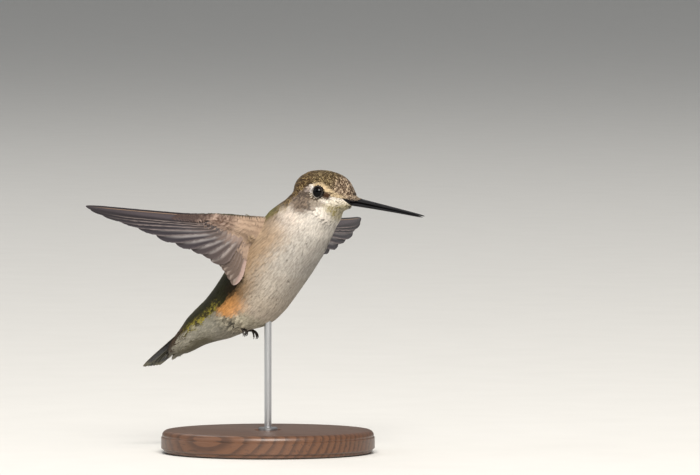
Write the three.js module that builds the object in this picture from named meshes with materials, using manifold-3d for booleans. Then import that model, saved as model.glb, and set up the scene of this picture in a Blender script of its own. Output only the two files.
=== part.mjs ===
// A life-size ruby-throated hummingbird, hovering, on a plain display stand.
//
// Units are millimetres. +X is the way the body faces, +Y is the bird's left and +Z is up.
// The origin is the centre of the stand's underside.
//
// The trunk, the neck and the head are swept as one shape and parted with thin cuts. Each wing
// is an arm that carries the secondaries and a hand that carries the primaries, and the tail is
// a right and a left half. Flight feathers are joined fans with one rounded tip to a feather.
import * as THREE from "three";
import { mergeVertices } from "three/addons/utils/BufferGeometryUtils.js";
import Module from "manifold-3d";

// ---- Driving dimensions ----

const CUT = 0.3; // width of the thin cuts between parts
const FIT = 0.15; // clearance round small pieces that sit in a socket
const BANK = 3.75; // degrees, the right wing above the left
const DIHEDRAL = 0.25; // degrees, both wing tips above the shoulders

// The head's centre, its turn to the bird's left and the bill's dip, in degrees. The eyes and
// the bill are placed in the head: forward, out to each side and up.
const HEAD_POSE = { at: [12.8, 0.9, 59.1], turn: 9, dip: 9 };
const EYE = { radius: 1.75, forward: 2.9, out: 4.1, up: 0.3 };
const BILL = { length: 17.4, face: 10.3, buried: 2.2, below: 0.85, width: 1.9, depth: 2.05, tip: 0.6 };

// Wings: the sweep is back from straight out, and the twist turns the tip's trailing edge back.
// The right wing's come first. The left wing is further back in its beat.
const SHOULDER = { forward: 1.7, out: 4.9, up: 53.1 };
const WING = { length: 53, chord: 16, sweep: [10.5, 18], twist: [32, -25], bow: 1.8, camber: 1.0 };
const WRIST = { out: 6.9, down: 2.6 };
const PRIMARIES = 10;
const SECONDARIES = 6;

const TAIL = { root: [-12.4, 34.6], slope: 37.6, length: 26, half_fan: 3.4, spread: 0.36 };
const RECTRICES = 5; // on each side

// Feathers of a fan: thickness, how far each lies over the next, and how round the tips are.
const VANE = { thick: 0.55, lap: 0.22, round: 0.075 };

const ANKLE = { forward: -5.0, out: 2.0, up: 27.3, uneven: 0.4 };
const TOE = { length: 2.5, thick: 0.7, claw: 0.5, spread: 30 };

const BASE = { radius: 24, height: 5, edge: 1.2 };
const ROD = { radius: 0.8, foot: 1.5, top: 36 };

// ---- Small helpers ----

const wasm = await Module();
wasm.setup();

const rad = THREE.MathUtils.degToRad;
const { lerp, clamp } = THREE.MathUtils;
const at = (x, y, z) => new THREE.Vector3(x, y, z);

const LEFT = at(0, 1, 0);
const WELD = 1e-4; // vertices closer than this are one

// A geometry as a solid. A shape that was mirrored on its way has its faces turned out again.
function solid(geometry) {
  const bare = geometry.index ? geometry.toNonIndexed() : geometry.clone();
  bare.deleteAttribute("normal");
  bare.deleteAttribute("uv");
  const merged = mergeVertices(bare, WELD);
  const corners = new Uint32Array(merged.index.array);
  const made = solidOf(merged, corners);
  return made.volume() < 0 ? solidOf(merged, corners.reverse()) : made;
}

function solidOf(merged, triVerts) {
  const vertProperties = merged.attributes.position.array;
  return new wasm.Manifold(new wasm.Mesh({ numProp: 3, vertProperties, triVerts }));
}

function geometryOf(shape) {
  const mesh = shape.getMesh();
  const geometry = new THREE.BufferGeometry();
  geometry.setAttribute("position", new THREE.BufferAttribute(mesh.vertProperties, 3));
  geometry.setIndex(new THREE.BufferAttribute(mesh.triVerts, 1));
  geometry.computeVertexNormals();
  return geometry;
}

const joined = (shapes) => shapes.reduce((all, next) => all.add(next));

// Every vertex of a geometry goes where the function says.
function reshape(geometry, where) {
  const points = geometry.attributes.position;
  const point = new THREE.Vector3();
  for (let i = 0; i < points.count; i++) {
    point.fromBufferAttribute(points, i);
    points.setXYZ(i, ...where(point).toArray());
  }
  return geometry;
}

// A tube of oval sections. A station has its centre, its half width, and its half depth above
// and below the centre line; "across" is the direction of its width.
function sweep(stations, across, around, along, grown = 0) {
  const nearEnds = 15; // a high power, so that only the end caps move out when grown
  const line = new THREE.CatmullRomCurve3(stations.map((s) => at(...s.at)));
  const size = new THREE.CatmullRomCurve3(stations.map((s) => at(s.wide, s.above, s.below)));
  const tube = new THREE.CylinderGeometry(1, 1, 1, around, along);
  return solid(
    reshape(tube, (p) => {
      const t = clamp(p.y + 0.5, 0, 1);
      const section = size.getPoint(t).addScalar(grown);
      const ahead = line.getTangent(t);
      const up = ahead.clone().cross(across).normalize();
      const side = up.clone().cross(ahead).normalize();
      const depth = p.x > 0 ? section.y : section.z;
      const end = grown * (2 * t - 1) ** nearEnds;
      return line
        .getPoint(t)
        .addScaledVector(ahead, end)
        .addScaledVector(side, p.z * section.x)
        .addScaledVector(up, p.x * depth);
    }),
  );
}

function station(x, y, z, wide, above, below = above) {
  return { at: [x, y, z], wide, above, below };
}

// ---- Trunk, neck and head ----

// From the end of the tail coverts, along the back, to inside the head.
const TRUNK = [
  station(-26.2, 0, 22.2, 2.2, 0.4, 0.8),
  station(-24.7, 0, 23.2, 3.3, 1.0, 1.8),
  station(-22.4, 0, 24.9, 4.0, 2.0, 2.8),
  station(-19.6, 0, 26.7, 4.5, 3.7, 3.6),
  station(-16.6, 0, 28.4, 5.0, 4.4, 4.5),
  station(-13.0, 0, 30.4, 5.8, 5.1, 5.8),
  station(-9.6, 0, 32.5, 6.7, 6.0, 6.4),
  station(-6.8, 0, 34.5, 7.4, 6.8, 8.3),
  station(-3.9, 0, 36.9, 8.0, 7.5, 8.9),
  station(1.9, 0, 42.2, 8.7, 8.7, 7.9),
  station(8.0, 0.1, 48.3, 7.9, 9.0, 7.0),
  station(11.6, 0.3, 52.3, 6.5, 7.7, 5.9),
  station(13.5, 0.5, 55.6, 5.9, 7.0, 6.2),
  station(14.4, 0.8, 58.2, 4.4, 5.3, 5.0),
];

// From the nape to the feathers at the base of the bill, in the head's own directions.
const HEAD = [
  station(-5.1, 0, -0.9, 0.5, 0.5),
  station(-4.5, 0, -0.75, 2.4, 1.9),
  station(-3.3, 0, -0.4, 4.0, 3.0),
  station(-1.6, 0, 0, 5.2, 4.2),
  station(0.8, 0, 0, 5.7, 4.95),
  station(3.2, 0, -0.1, 5.4, 5.05, 4.85),
  station(5.4, 0, -0.35, 4.5, 4.85, 4.0),
  station(7.3, 0, -0.65, 3.3, 4.1, 3.0),
  station(9.0, 0, -0.8, 2.2, 2.75, 1.9),
  station(10.4, 0, -0.85, 1.2, 1.1, 1.0),
];

const headPose = new THREE.Matrix4()
  .makeTranslation(...HEAD_POSE.at)
  .multiply(new THREE.Matrix4().makeRotationZ(rad(HEAD_POSE.turn)))
  .multiply(new THREE.Matrix4().makeRotationY(rad(HEAD_POSE.dip)));

const inHead = (shape) => shape.transform(headPose.toArray());

function wholeBody(grown) {
  const trunk = sweep(TRUNK, LEFT, 26, 22, grown);
  const head = inHead(sweep(HEAD, LEFT, 20, 12, grown));
  return trunk.add(head);
}

// Where the body is parted: a point of the cut, and its tilt in degrees from upright.
const PARTINGS = [
  { at: [12.6, 0.5, 54.8], tilt: 62 },
  { at: [7.2, 0, 47.8], tilt: 44 },
  { at: [-13.2, 0, 30.4], tilt: 36 },
];

function parting(cut) {
  const wider = 40; // than any part of the body
  const slab = new THREE.BoxGeometry(CUT, wider, wider);
  slab.rotateY(-rad(cut.tilt));
  slab.translate(...cut.at);
  return solid(slab);
}

// ---- Bill and eyes ----

// The upper or the lower half. Its flat side is a hair off the seam between the two.
function billHalf(upper, grown = 0) {
  const { length, face, buried, below, width, depth, tip } = BILL;
  const parts = 8;
  const seam = upper ? 0.08 : -0.08;
  const flat = 0.02;
  const overbite = upper ? 0 : 0.4;
  const droop = 0.3;
  const stations = [];
  for (let i = 0; i <= parts; i++) {
    const along = i / parts;
    const full = (1 - along) ** 1.15;
    const reach = face - buried + along * (length + buried - overbite);
    const half = lerp(tip, depth, full) / 2;
    stations.push({
      at: [reach, 0, -below + seam - droop * along ** 2],
      wide: lerp(tip, width, full) / 2,
      above: upper ? half : flat,
      below: upper ? flat : half,
    });
  }
  return sweep(stations, LEFT, 12, 9, grown);
}

function eyeball(side, grown = 0) {
  const ball = new THREE.SphereGeometry(EYE.radius + grown, 12, 9);
  ball.translate(EYE.forward, side * EYE.out, EYE.up);
  return solid(ball);
}

// ---- Wings ----

// A wing's own directions: out along the span, down the chord, and through to its upper side.
function wingFrame(side) {
  const lift = rad(DIHEDRAL - side * BANK);
  const sweepBack = rad(WING.sweep[side < 0 ? 0 : 1]);
  const span = at(-Math.sin(sweepBack) * Math.cos(lift), 0, Math.sin(lift));
  span.y = side * Math.cos(sweepBack) * Math.cos(lift);
  const chord = at(0, 0, -1).addScaledVector(span, span.z).normalize();
  const over = span.clone().cross(chord).multiplyScalar(side);
  const root = at(SHOULDER.forward, side * SHOULDER.out, SHOULDER.up);
  const twist = rad(WING.twist[side < 0 ? 0 : 1]);
  return { span, chord, over, root, twist };
}

// The place in the world of a point of the flat wing: s out, c down the chord, n above it.
function wingPlace(frame, s, c, n) {
  const share = clamp(s / WING.length, 0, 1);
  const turn = frame.twist * share ** 1.5;
  const down = frame.chord.clone().multiplyScalar(Math.cos(turn));
  down.addScaledVector(frame.over, Math.sin(turn));
  const through = frame.over.clone().multiplyScalar(Math.cos(turn));
  through.addScaledVector(frame.chord, -Math.sin(turn));
  const hump = WING.camber * Math.sin(Math.PI * clamp(c / WING.chord, 0, 1));
  const bowed = -WING.bow * Math.sin(Math.PI * share);
  return frame.root
    .clone()
    .addScaledVector(frame.span, s)
    .addScaledVector(down, c)
    .addScaledVector(through, n + hump)
    .addScaledVector(frame.over, bowed);
}

// Base, direction (degrees from the span towards the chord) and length of each flight feather.
function primary(k) {
  const t = k / (PRIMARIES - 1);
  return {
    s: lerp(15.5, 7.6, t),
    c: lerp(0.6, 2.1, t),
    angle: -0.5 + 53.4 * t ** 2.6,
    length: 10.7 + 27.3 * (0.5 + 0.5 * Math.cos(Math.PI * t)) ** 1.15,
  };
}

function secondary(k) {
  const t = k / (SECONDARIES - 1);
  return {
    s: lerp(6.9, 3.4, t),
    c: lerp(2.3, 2.6, t),
    angle: lerp(60, 73, t),
    length: lerp(10.2, 13.6, t ** 1.4),
  };
}

// A fan of feathers. across runs from 0 to their number, and out from 0 at the bases to 1 at
// the tips, which are rounded; each feather's leading edge lies over the one before it.
function fanPlace(feather, count, across, out) {
  const k = across - 0.5;
  const inner = clamp(Math.floor(k), 0, count - 2);
  const [a, b] = [feather(inner), feather(inner + 1)];
  const mix = k - inner;
  const phase = phaseOf(across, count);
  const angle = rad(lerp(a.angle, b.angle, mix));
  const reach = lerp(a.length, b.length, mix) * out * lerp(1, roundTip(phase), out);
  return {
    s: lerp(a.s, b.s, mix) + Math.cos(angle) * reach,
    c: lerp(a.c, b.c, mix) + Math.sin(angle) * reach,
    n: VANE.lap * (0.5 - phase) * out,
  };
}

// From 0 to 1 across each feather, and how far out its tip reaches there.
const phaseOf = (across, count) => across - Math.min(Math.floor(across), count - 1);
const roundTip = (phase) => 1 - VANE.round * Math.abs(2 * phase - 1) ** 2.4;

function wingFan(side, feather, count, rows) {
  const frame = wingFrame(side);
  const sheet = new THREE.BoxGeometry(1, 1, 1, count * 4, rows, 1);
  reshape(sheet, (p) => {
    const flat = fanPlace(feather, count, (p.x + 0.5) * count, p.y + 0.5);
    return wingPlace(frame, flat.s, flat.c, flat.n + p.z * VANE.thick);
  });
  return solid(sheet);
}

// The flesh and small coverts along the leading edge: s, c, half height and half thickness.
const WING_FLESH = [
  [-1.6, 3.7, 4.0, 2.6],
  [1.5, 3.0, 3.3, 2.2],
  [4.2, 2.3, 2.5, 1.7],
  [7.2, 1.75, 2.0, 1.3],
  [10, 1.45, 1.7, 1.1],
  [14, 1.15, 1.25, 0.85],
  [20, 0.9, 0.75, 0.55],
  [28, 0.75, 0.35, 0.35],
];

function wingFlesh(side) {
  const frame = wingFrame(side);
  const placed = WING_FLESH.map(([s, c, high, thick]) => {
    const p = wingPlace(frame, s, c, 0);
    return station(p.x, p.y, p.z, thick, high);
  });
  return sweep(placed, frame.over.clone().multiplyScalar(side), 10, 9);
}

// The wing in one piece, then parted between the first primary and the first secondary.
function wing(side) {
  const whole = joined([
    wingFlesh(side),
    wingFan(side, secondary, SECONDARIES, 2),
    wingFan(side, primary, PRIMARIES, 3),
  ]);
  const pieces = whole.subtract(wingParting(side)).decompose();
  const [a, b] = pieces.sort((p, q) => q.volume() - p.volume());
  const reach = (half) => side * half.boundingBox()[side > 0 ? "max" : "min"][1];
  return reach(a) < reach(b) ? [a, b] : [b, a];
}

// A bent slab: straight across the flesh to the wrist, then out between the two feathers.
function wingParting(side) {
  const frame = wingFrame(side);
  const [length, above, feathers] = [30, 7, 55.5];
  const slab = new THREE.BoxGeometry(CUT, length, length / 2, 1, length, 1);
  reshape(slab, (p) => {
    const along = p.y + length / 2 - above;
    const angle = rad(along < 0 ? 90 : feathers);
    const s = WRIST.out + Math.cos(angle) * along + Math.sin(angle) * p.x;
    const c = WRIST.down + Math.sin(angle) * along - Math.cos(angle) * p.x;
    return wingPlace(frame, s, c, p.z);
  });
  return solid(slab);
}

// ---- Tail ----

function tailHalf(side) {
  const { root, slope, length, half_fan, spread } = TAIL;
  const [longer, sunk] = [0.055, 0.1]; // the middle feathers' length, the outer ones' depth
  const back = at(-Math.cos(rad(slope)), 0, -Math.sin(rad(slope)));
  const over = at(-Math.sin(rad(slope)), 0, Math.cos(rad(slope)));
  const sheet = new THREE.BoxGeometry(1, 1, 1, RECTRICES * 4, 3, 1);
  reshape(sheet, (p) => {
    const across = (p.x + 0.5) * RECTRICES;
    const share = across / RECTRICES;
    const phase = phaseOf(across, RECTRICES);
    const out = p.y + 0.5;
    const angle = rad(half_fan) * share;
    const tip = roundTip(phase) * (1 + longer * (1 - share));
    const reach = length * out * lerp(1, tip, out);
    const beside = CUT / 2 + spread * across + Math.sin(angle) * reach;
    const lift = VANE.lap * (phase - 0.5) * out - sunk * across;
    return at(root[0], 0, root[1])
      .addScaledVector(back, Math.cos(angle) * reach)
      .addScaledVector(LEFT, side * beside)
      .addScaledVector(over, lift + p.z * VANE.thick);
  });
  return solid(sheet);
}

// ---- Legs ----

// A toe with its claw: it leaves at a dip below level and curls down by the given degrees.
function digit(from, heading, dip, curl, length) {
  const parts = 5;
  const step = length / parts;
  const forward = at(Math.cos(rad(heading)), Math.sin(rad(heading)), 0);
  const stations = [];
  const p = from.clone();
  for (let i = 0; i <= parts; i++) {
    const along = i / parts;
    const half = lerp(TOE.thick, TOE.claw, along) / 2;
    stations.push(station(p.x, p.y, p.z, half, half));
    const bent = rad(dip + curl * along);
    p.addScaledVector(forward, step * Math.cos(bent));
    p.z -= step * Math.sin(bent);
  }
  return sweep(stations, at(-forward.y, forward.x, 0), 6, parts);
}

function leg(side) {
  const { forward, out } = ANKLE;
  const up = ANKLE.up - side * ANKLE.uneven;
  const ankle = at(forward, side * out, up);
  const shank = [
    station(forward - 1.0, side * out, up + 5, 0.9, 0.9),
    station(forward - 0.4, side * out, up + 2, 0.65, 0.65),
    station(forward, side * out, up - 0.15, 0.45, 0.45),
  ];
  const fronts = [-TOE.spread, 0, TOE.spread];
  const front = fronts.map((turn) => digit(ankle, turn, 20, 95, TOE.length));
  const hind = digit(ankle, 180, 5, 60, TOE.length * 0.85);
  return joined([sweep(shank, LEFT, 8, 4), ...front, hind]);
}

// ---- Stand ----

function standBase() {
  const { radius, height, edge } = BASE;
  const profile = new THREE.Path();
  profile.moveTo(0, 0);
  profile.lineTo(radius, 0);
  profile.lineTo(radius, height - edge);
  profile.absarc(radius - edge, height - edge, edge, 0, Math.PI / 2, false);
  profile.lineTo(0, height);
  const disc = new THREE.LatheGeometry(profile.getPoints(2), 36);
  disc.rotateX(Math.PI / 2);
  return solid(disc).subtract(rod(FIT));
}

// The rod stands in the base, and its top is in the belly.
function rod(grown = 0) {
  const foot = ROD.foot - grown;
  const top = ROD.top + grown;
  const radius = ROD.radius + grown;
  const bar = new THREE.CylinderGeometry(radius, radius, top - foot, 20);
  bar.rotateX(Math.PI / 2);
  bar.translate(0, 0, (top + foot) / 2);
  return solid(bar);
}

// ---- Putting it together ----

const FINISH = {
  crown: { color: 0x8a7a62, roughness: 0.85 },
  breast: { color: 0xb9ab97, roughness: 0.9 },
  rump: { color: 0x8f8d63, roughness: 0.8 },
  wing: { color: 0x8d8792, roughness: 0.65 },
  tail: { color: 0x3b3a3d, roughness: 0.6 },
  bill: { color: 0x17181c, roughness: 0.35 },
  eye: { color: 0x080707, roughness: 0.05 },
  leg: { color: 0x1d1a18, roughness: 0.6 },
  wood: { color: 0x3a2417, roughness: 0.4 },
  steel: { color: 0xb8babd, roughness: 0.3, metalness: 1 },
};

const model = new THREE.Group();

function place(name, finish, shape) {
  const material = new THREE.MeshStandardMaterial({ metalness: 0, ...FINISH[finish] });
  const mesh = new THREE.Mesh(geometryOf(shape), material);
  mesh.name = name;
  model.add(mesh);
}

// What is left of a shape that starts inside the body: its largest piece out of it.
const keepOff = wholeBody(CUT);
function outside(shape) {
  const left = shape.subtract(keepOff).decompose();
  return left.sort((a, b) => b.volume() - a.volume())[0];
}

const billSocket = inHead(billHalf(true, FIT).add(billHalf(false, FIT)));
const eyeSockets = inHead(eyeball(-1, FIT).add(eyeball(1, FIT)));
const [head, neck, trunk, rump] = wholeBody(0)
  .subtract(joined([...PARTINGS.map(parting), billSocket, eyeSockets, rod(FIT)]))
  .decompose()
  .sort((a, b) => b.boundingBox().max[2] - a.boundingBox().max[2]);

place("head", "crown", head);
place("neck", "breast", neck);
place("trunk", "breast", trunk);
place("rump", "rump", rump);
place("bill_upper", "bill", inHead(billHalf(true)));
place("bill_lower", "bill", inHead(billHalf(false)));

const sides = { right: -1, left: 1 };
for (const [name, side] of Object.entries(sides)) {
  const [arm, hand] = wing(side);
  place(`eye_${name}`, "eye", inHead(eyeball(side)));
  place(`wing_${name}_arm`, "wing", outside(arm));
  place(`wing_${name}_hand`, "wing", hand);
  place(`tail_${name}`, "tail", outside(tailHalf(side)));
  place(`leg_${name}`, "leg", outside(leg(side)));
}

place("stand_base", "wood", standBase());
place("stand_rod", "steel", rod());

export default model;
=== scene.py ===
"""A life-size ruby-throated hummingbird in its plain plumage, hovering on a display stand.

+X is the way the body faces, +Y is the bird's left and +Z is up. Lengths are in millimetres and
go into meshes through MM. The skin and each body feather carry three attributes that their
markings come from: place on the body, place in the head, and place in the vane.
"""
from contextlib import contextmanager
from math import atan2, ceil, cos, exp, hypot, pi, radians, sin, sqrt

import bmesh
import bpy
import numpy as np
from mathutils import Euler, Matrix, Vector
from mathutils.bvhtree import BVHTree
from mathutils.kdtree import KDTree


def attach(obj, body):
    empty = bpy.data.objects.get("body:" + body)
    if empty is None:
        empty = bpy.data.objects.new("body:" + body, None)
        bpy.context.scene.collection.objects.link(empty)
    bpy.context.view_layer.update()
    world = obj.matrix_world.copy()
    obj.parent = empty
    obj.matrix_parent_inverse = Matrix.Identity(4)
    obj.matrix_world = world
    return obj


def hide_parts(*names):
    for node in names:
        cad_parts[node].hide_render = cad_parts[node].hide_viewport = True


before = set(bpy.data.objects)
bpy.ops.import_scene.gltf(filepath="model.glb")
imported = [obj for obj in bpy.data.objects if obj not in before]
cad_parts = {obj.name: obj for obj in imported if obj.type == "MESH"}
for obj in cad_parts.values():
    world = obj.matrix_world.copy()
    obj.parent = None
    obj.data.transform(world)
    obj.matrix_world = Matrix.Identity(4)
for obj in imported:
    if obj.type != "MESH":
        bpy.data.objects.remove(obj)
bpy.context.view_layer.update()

MM = 0.001

# ---- Driving dimensions, in millimetres and degrees. -1 is the right side and 1 the left ----

NAME = {-1: "right", 1: "left"}
HEAD_AT = (12.8, 0.9, 59.1)
HEAD_TURN = 9
HEAD_DIP = 9
EYE = {"radius": 1.75, "opening": 1.06, "fore": 2.9, "out": 4.1, "up": 0.3, "ahead": 8, "raised": 4}
BILL = {"length": 17.4, "face": 10.3, "buried": 2.2, "below": 0.85, "width": 1.9, "depth": 2.05}
BILL_TIP = 0.6
SHOULDER = {"fore": 1.7, "out": 4.9, "up": 53.1}
WING = {"length": 53, "chord": 16, "bow": 1.8, "camber": 1.0}
SWEEP = {-1: 10.5, 1: 18}  # the left wing is further back in its beat
TWIST = {-1: 32, 1: -25}
BANK = 3.75
DIHEDRAL = 0.25
PRIMARIES = 10
SECONDARIES = 6
TAIL = {"root": (-12.4, 34.6), "slope": 37.6, "length": 26, "half_fan": 3.4, "spread": 0.36}
RECTRICES = 5
ANKLE = {"fore": -6.3, "out": 2.0, "up": 27.5, "uneven": 0.4}
TOE = {"length": 2.5, "thick": 0.8, "claw": 0.55, "spread": 28}
BASE = {"radius": 24, "height": 5, "edge": 1.2}
ROD = {"radius": 0.8, "foot": 1.5, "top": 36}
CAMERA = {"at": (1305.6, -1765.6, 144.1), "target": (13.67, 12.53, 48.16), "lens": 503.5}
LAMP_DISTANCE = 2.4  # in metres

# The middle of the body from the tail coverts to the neck; the head carries it on to the bill.
SPINE = [
    (-26.2, 0, 22.2),
    (-19.6, 0, 26.7),
    (-13.0, 0, 30.4),
    (-6.8, 0, 34.5),
    (1.9, 0, 42.2),
    (8.0, 0.1, 48.3),
    (11.2, 0.4, 53.0),
]
SPINE_IN_HEAD = [(-1.5, 0, -1.0), (3.0, 0, 0), (11.0, 0, -0.8)]

BODY_COAT = 0.85  # how deep the coat is on the trunk
HEAD_COAT = 0.5
FACE_COAT = 0.28
FIRST_VOXEL = 0.34
SKIN_VOXEL = 0.3
SCATTERED = 170000  # places to thin out to the feathers' spacing
BILL_FEATHERS = 260
COVERTS_END = 27
MOST_TRIANGLES = 190000  # in one piece

# Barbs, half width, where barbs begin, fray, dome, where the leaf ends, and the seeds.
VANES = {
    "coat_crown": (6, 0.34, 0.4, 0.1, 0.035, 0.93, (14, 15, 16)),
    "coat_head": (5, 0.28, 0.45, 0.2, 0.01, 0.85, (1, 2, 3, 4)),
    "coat_body": (7, 0.18, 0.32, 0.2, 0.008, 0.74, (5, 6, 7, 8, 9, 10)),
    "coat_vent": (9, 0.17, 0.3, 0.35, 0.02, 0.93, (11, 12, 13)),
    "coverts": (8, 0.24, 0.35, 0.2, 0.01, 0.8, (20, 21, 22)),
}

chance = np.random.default_rng(11)


def tone(code):
    """A screen colour's hex code as linear light."""
    shares = [int(code[i : i + 2], 16) / 255 for i in (0, 2, 4)]
    return tuple(c / 12.92 if c <= 0.04045 else ((c + 0.055) / 1.055) ** 2.4 for c in shares)


def toward(value, target, share):
    return value + (target - value) * share


def ramp(value, start, width):
    """From 0 at the start to 1 at the other end of the width, and level beyond both."""
    return np.clip((value - start) / width, 0, 1)


def unit(rows):
    """Directions, one to a row, at length 1."""
    return rows / np.linalg.norm(rows, axis=1, keepdims=True)


# ---- Choosing pieces, modifiers and tubes ----


def choose(*pieces):
    if bpy.context.object and bpy.context.object.mode != "OBJECT":
        bpy.ops.object.mode_set(mode="OBJECT")
    bpy.ops.object.select_all(action="DESELECT")
    for piece in pieces:
        piece.select_set(True)
    if pieces:
        bpy.context.view_layer.objects.active = pieces[0]


@contextmanager
def editing(piece):
    """Edit mode with all of the piece selected."""
    choose(piece)
    bpy.ops.object.mode_set(mode="EDIT")
    bpy.ops.mesh.select_all(action="SELECT")
    yield
    bpy.ops.object.mode_set(mode="OBJECT")


def primitive(name, operator, **settings):
    choose()
    operator(**settings)
    made = bpy.context.object
    made.name = name
    return made


def put(name, data):
    """A new object in the scene."""
    made = bpy.data.objects.new(name, data)
    bpy.context.scene.collection.objects.link(made)
    return made


def read(items, name, width, kind=float):
    """One property of many vertices, loops or triangles, a row for each."""
    found = np.empty(len(items) * width, kind)
    items.foreach_get(name, found)
    return found.reshape(-1, width)


def positions(mesh):
    return read(mesh.vertices, "co", 3) / MM


def give(mesh, **attributes):
    """Stores a vector at each vertex under each name, for the materials to read."""
    for name, values in attributes.items():
        layer = mesh.attributes.new(name, "FLOAT_VECTOR", "POINT")
        layer.data.foreach_set("vector", np.asarray(values).astype(np.float32).ravel())


def modify(piece, kind, **settings):
    choose(piece)
    modifier = piece.modifiers.new(kind.lower(), kind)
    for key, value in settings.items():
        setattr(modifier, key, value)
    bpy.ops.object.modifier_apply(modifier=modifier.name)


def smooth(piece, angle=None):
    choose(piece)
    if angle is None:
        bpy.ops.object.shade_smooth()
    else:
        bpy.ops.object.shade_smooth_by_angle(angle=radians(angle))


def tidy_faces(piece):
    with editing(piece):
        bpy.ops.mesh.remove_doubles(threshold=1e-7)
        bpy.ops.mesh.normals_make_consistent(inside=False)


def join(name, pieces):
    choose(*pieces)
    if len(pieces) > 1:
        bpy.ops.object.join()
    joined = bpy.context.object
    joined.name = name
    return joined


def hand_over(piece, slot, material, *nodes):
    """A finished piece gets its material and its body, and stands for CAD nodes; the slot is not used.
    """
    piece.data.materials.clear()
    piece.data.materials.append(material)
    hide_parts(*nodes)
    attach(piece, "root")
    return piece


def tube(name, rings, sides=16, levels=1):
    """A closed tube: a disc is extruded from ring to ring. A ring is a matrix in millimetres."""
    disc = bpy.ops.mesh.primitive_circle_add
    piece = primitive(name, disc, vertices=sides, radius=1, fill_type="NGON")
    before = Matrix()
    with editing(piece):
        for i, ring in enumerate(rings):
            if i:
                bpy.ops.mesh.extrude_region_move()
            shape = bmesh.from_edit_mesh(piece.data)
            step = ring @ before.inverted()
            for vertex in shape.verts:
                if vertex.select:
                    vertex.co = step @ vertex.co
            bmesh.update_edit_mesh(piece.data)
            before = ring
    piece.data.transform(Matrix.Scale(MM, 4))
    tidy_faces(piece)
    if levels:
        modify(piece, "SUBSURF", levels=levels, render_levels=levels)
    smooth(piece)
    return piece


def ring_at(centre, ahead, side, wide, deep):
    """The place of a ring across the way ahead, wide along side and deep along the third."""
    ahead = Vector(ahead).normalized()
    up = ahead.cross(Vector(side)).normalized()
    side = up.cross(ahead)
    turn = Matrix((side * wide, up * deep, ahead)).transposed().to_4x4()
    return Matrix.Translation(centre) @ turn


# ---- The head's own directions, and the wings' ----

HEAD = (
    Matrix.Translation(HEAD_AT)
    @ Matrix.Rotation(radians(HEAD_TURN), 4, "Z")
    @ Matrix.Rotation(radians(HEAD_DIP), 4, "Y")
)
HEAD_AXES = np.array(HEAD.to_3x3())


def in_head(points):
    """Forward, left and up of the head's centre, for points in millimetres."""
    return (np.asarray(points) - HEAD_AT) @ HEAD_AXES


def spine_points():
    return np.array(SPINE + [tuple(HEAD @ Vector(p)) for p in SPINE_IN_HEAD])


def along_spine(points):
    """For each point: its distance along the spine from the tail, how much it is to the left and
    to the back, from -1 to 1, and the direction of the spine towards the tail."""
    line = spine_points()
    starts, ends = line[:-1], line[1:]
    steps = ends - starts
    lengths = np.linalg.norm(steps, axis=1)
    before = np.concatenate([[0], np.cumsum(lengths)[:-1]])
    offset = points[:, None] - starts
    share = np.clip((offset * steps).sum(2) / lengths**2, 0, 1)
    nearest = starts + share[..., None] * steps
    away = points[:, None] - nearest
    distance = np.linalg.norm(away, axis=2)
    softness = 1.6
    weight = np.exp(-((distance**2 - distance.min(1, keepdims=True) ** 2) / (2 * softness**2)))
    weight /= weight.sum(1, keepdims=True)
    forward = steps / lengths[:, None]
    left = np.tile([0.0, 1.0, 0.0], (len(forward), 1))
    left[-3:] = HEAD_AXES[:, 1]
    back = np.cross(forward, left)
    s = (weight * (before + share * lengths)).sum(1)
    unit = away / np.maximum(distance[..., None], 1e-6)
    side = (weight * (unit * left).sum(2)).sum(1)
    up = (weight * (unit * back).sum(2)).sum(1)
    tailward = -(weight[..., None] * forward).sum(1)
    return s, side, up, tailward


def wing_frame(side):
    """Out along the span, down the chord, and through to the wing's upper side."""
    lift = radians(DIHEDRAL - side * BANK)
    sweep = radians(SWEEP[side])
    span = np.array([-sin(sweep) * cos(lift), 0, sin(lift)])
    span[1] = side * cos(sweep) * cos(lift)
    chord = np.array([0, 0, -1]) + span * span[2]
    chord /= np.linalg.norm(chord)
    over = np.cross(span, chord) * side
    root = np.array([SHOULDER["fore"], side * SHOULDER["out"], SHOULDER["up"]])
    return span, chord, over, root


def wing_place(side, s, c, n):
    """Points of the flat wing, s out, c down the chord and n above it, bent to the real one."""
    span, chord, over, root = wing_frame(side)
    share = ramp(s, 0, WING["length"])
    turn = (radians(TWIST[side]) * share**1.5)[..., None]
    down = chord * np.cos(turn) + over * np.sin(turn)
    through = over * np.cos(turn) - chord * np.sin(turn)
    hump = WING["camber"] * np.sin(np.pi * ramp(c, 0, WING["chord"]))
    bowed = -WING["bow"] * np.sin(np.pi * share)
    flat = root + span * s[..., None] + down * c[..., None]
    return flat + through * (n + hump)[..., None] + over * bowed[..., None]


def primary(k):
    """Base, direction in degrees from the span towards the chord, and length. 0 is outermost."""
    t = k / (PRIMARIES - 1)
    base = (15.5 + (7.6 - 15.5) * t, 0.6 + (2.1 - 0.6) * t)
    return base, -0.5 + 53.4 * t**2.6, 10.7 + 27.3 * (0.5 + 0.5 * cos(pi * t)) ** 1.15


def secondary(k):
    t = k / (SECONDARIES - 1)
    base = (6.9 + (3.4 - 6.9) * t, 2.3 + (2.6 - 2.3) * t)
    return base, 60 + (73 - 60) * t, 10.2 + (13.6 - 10.2) * t**1.4


# The flesh along a wing's leading edge: s, c, half height and half thickness.
WING_FLESH = [
    (-1.6, 3.7, 4.0, 2.6),
    (1.5, 3.0, 3.3, 2.2),
    (4.2, 2.3, 2.5, 1.7),
    (7.2, 1.75, 2.0, 1.3),
    (10, 1.45, 1.7, 1.1),
    (14, 1.15, 1.25, 0.85),
    (20, 0.9, 0.75, 0.55),
    (28, 0.75, 0.35, 0.35),
]


# ---- Shader maths ----


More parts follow.
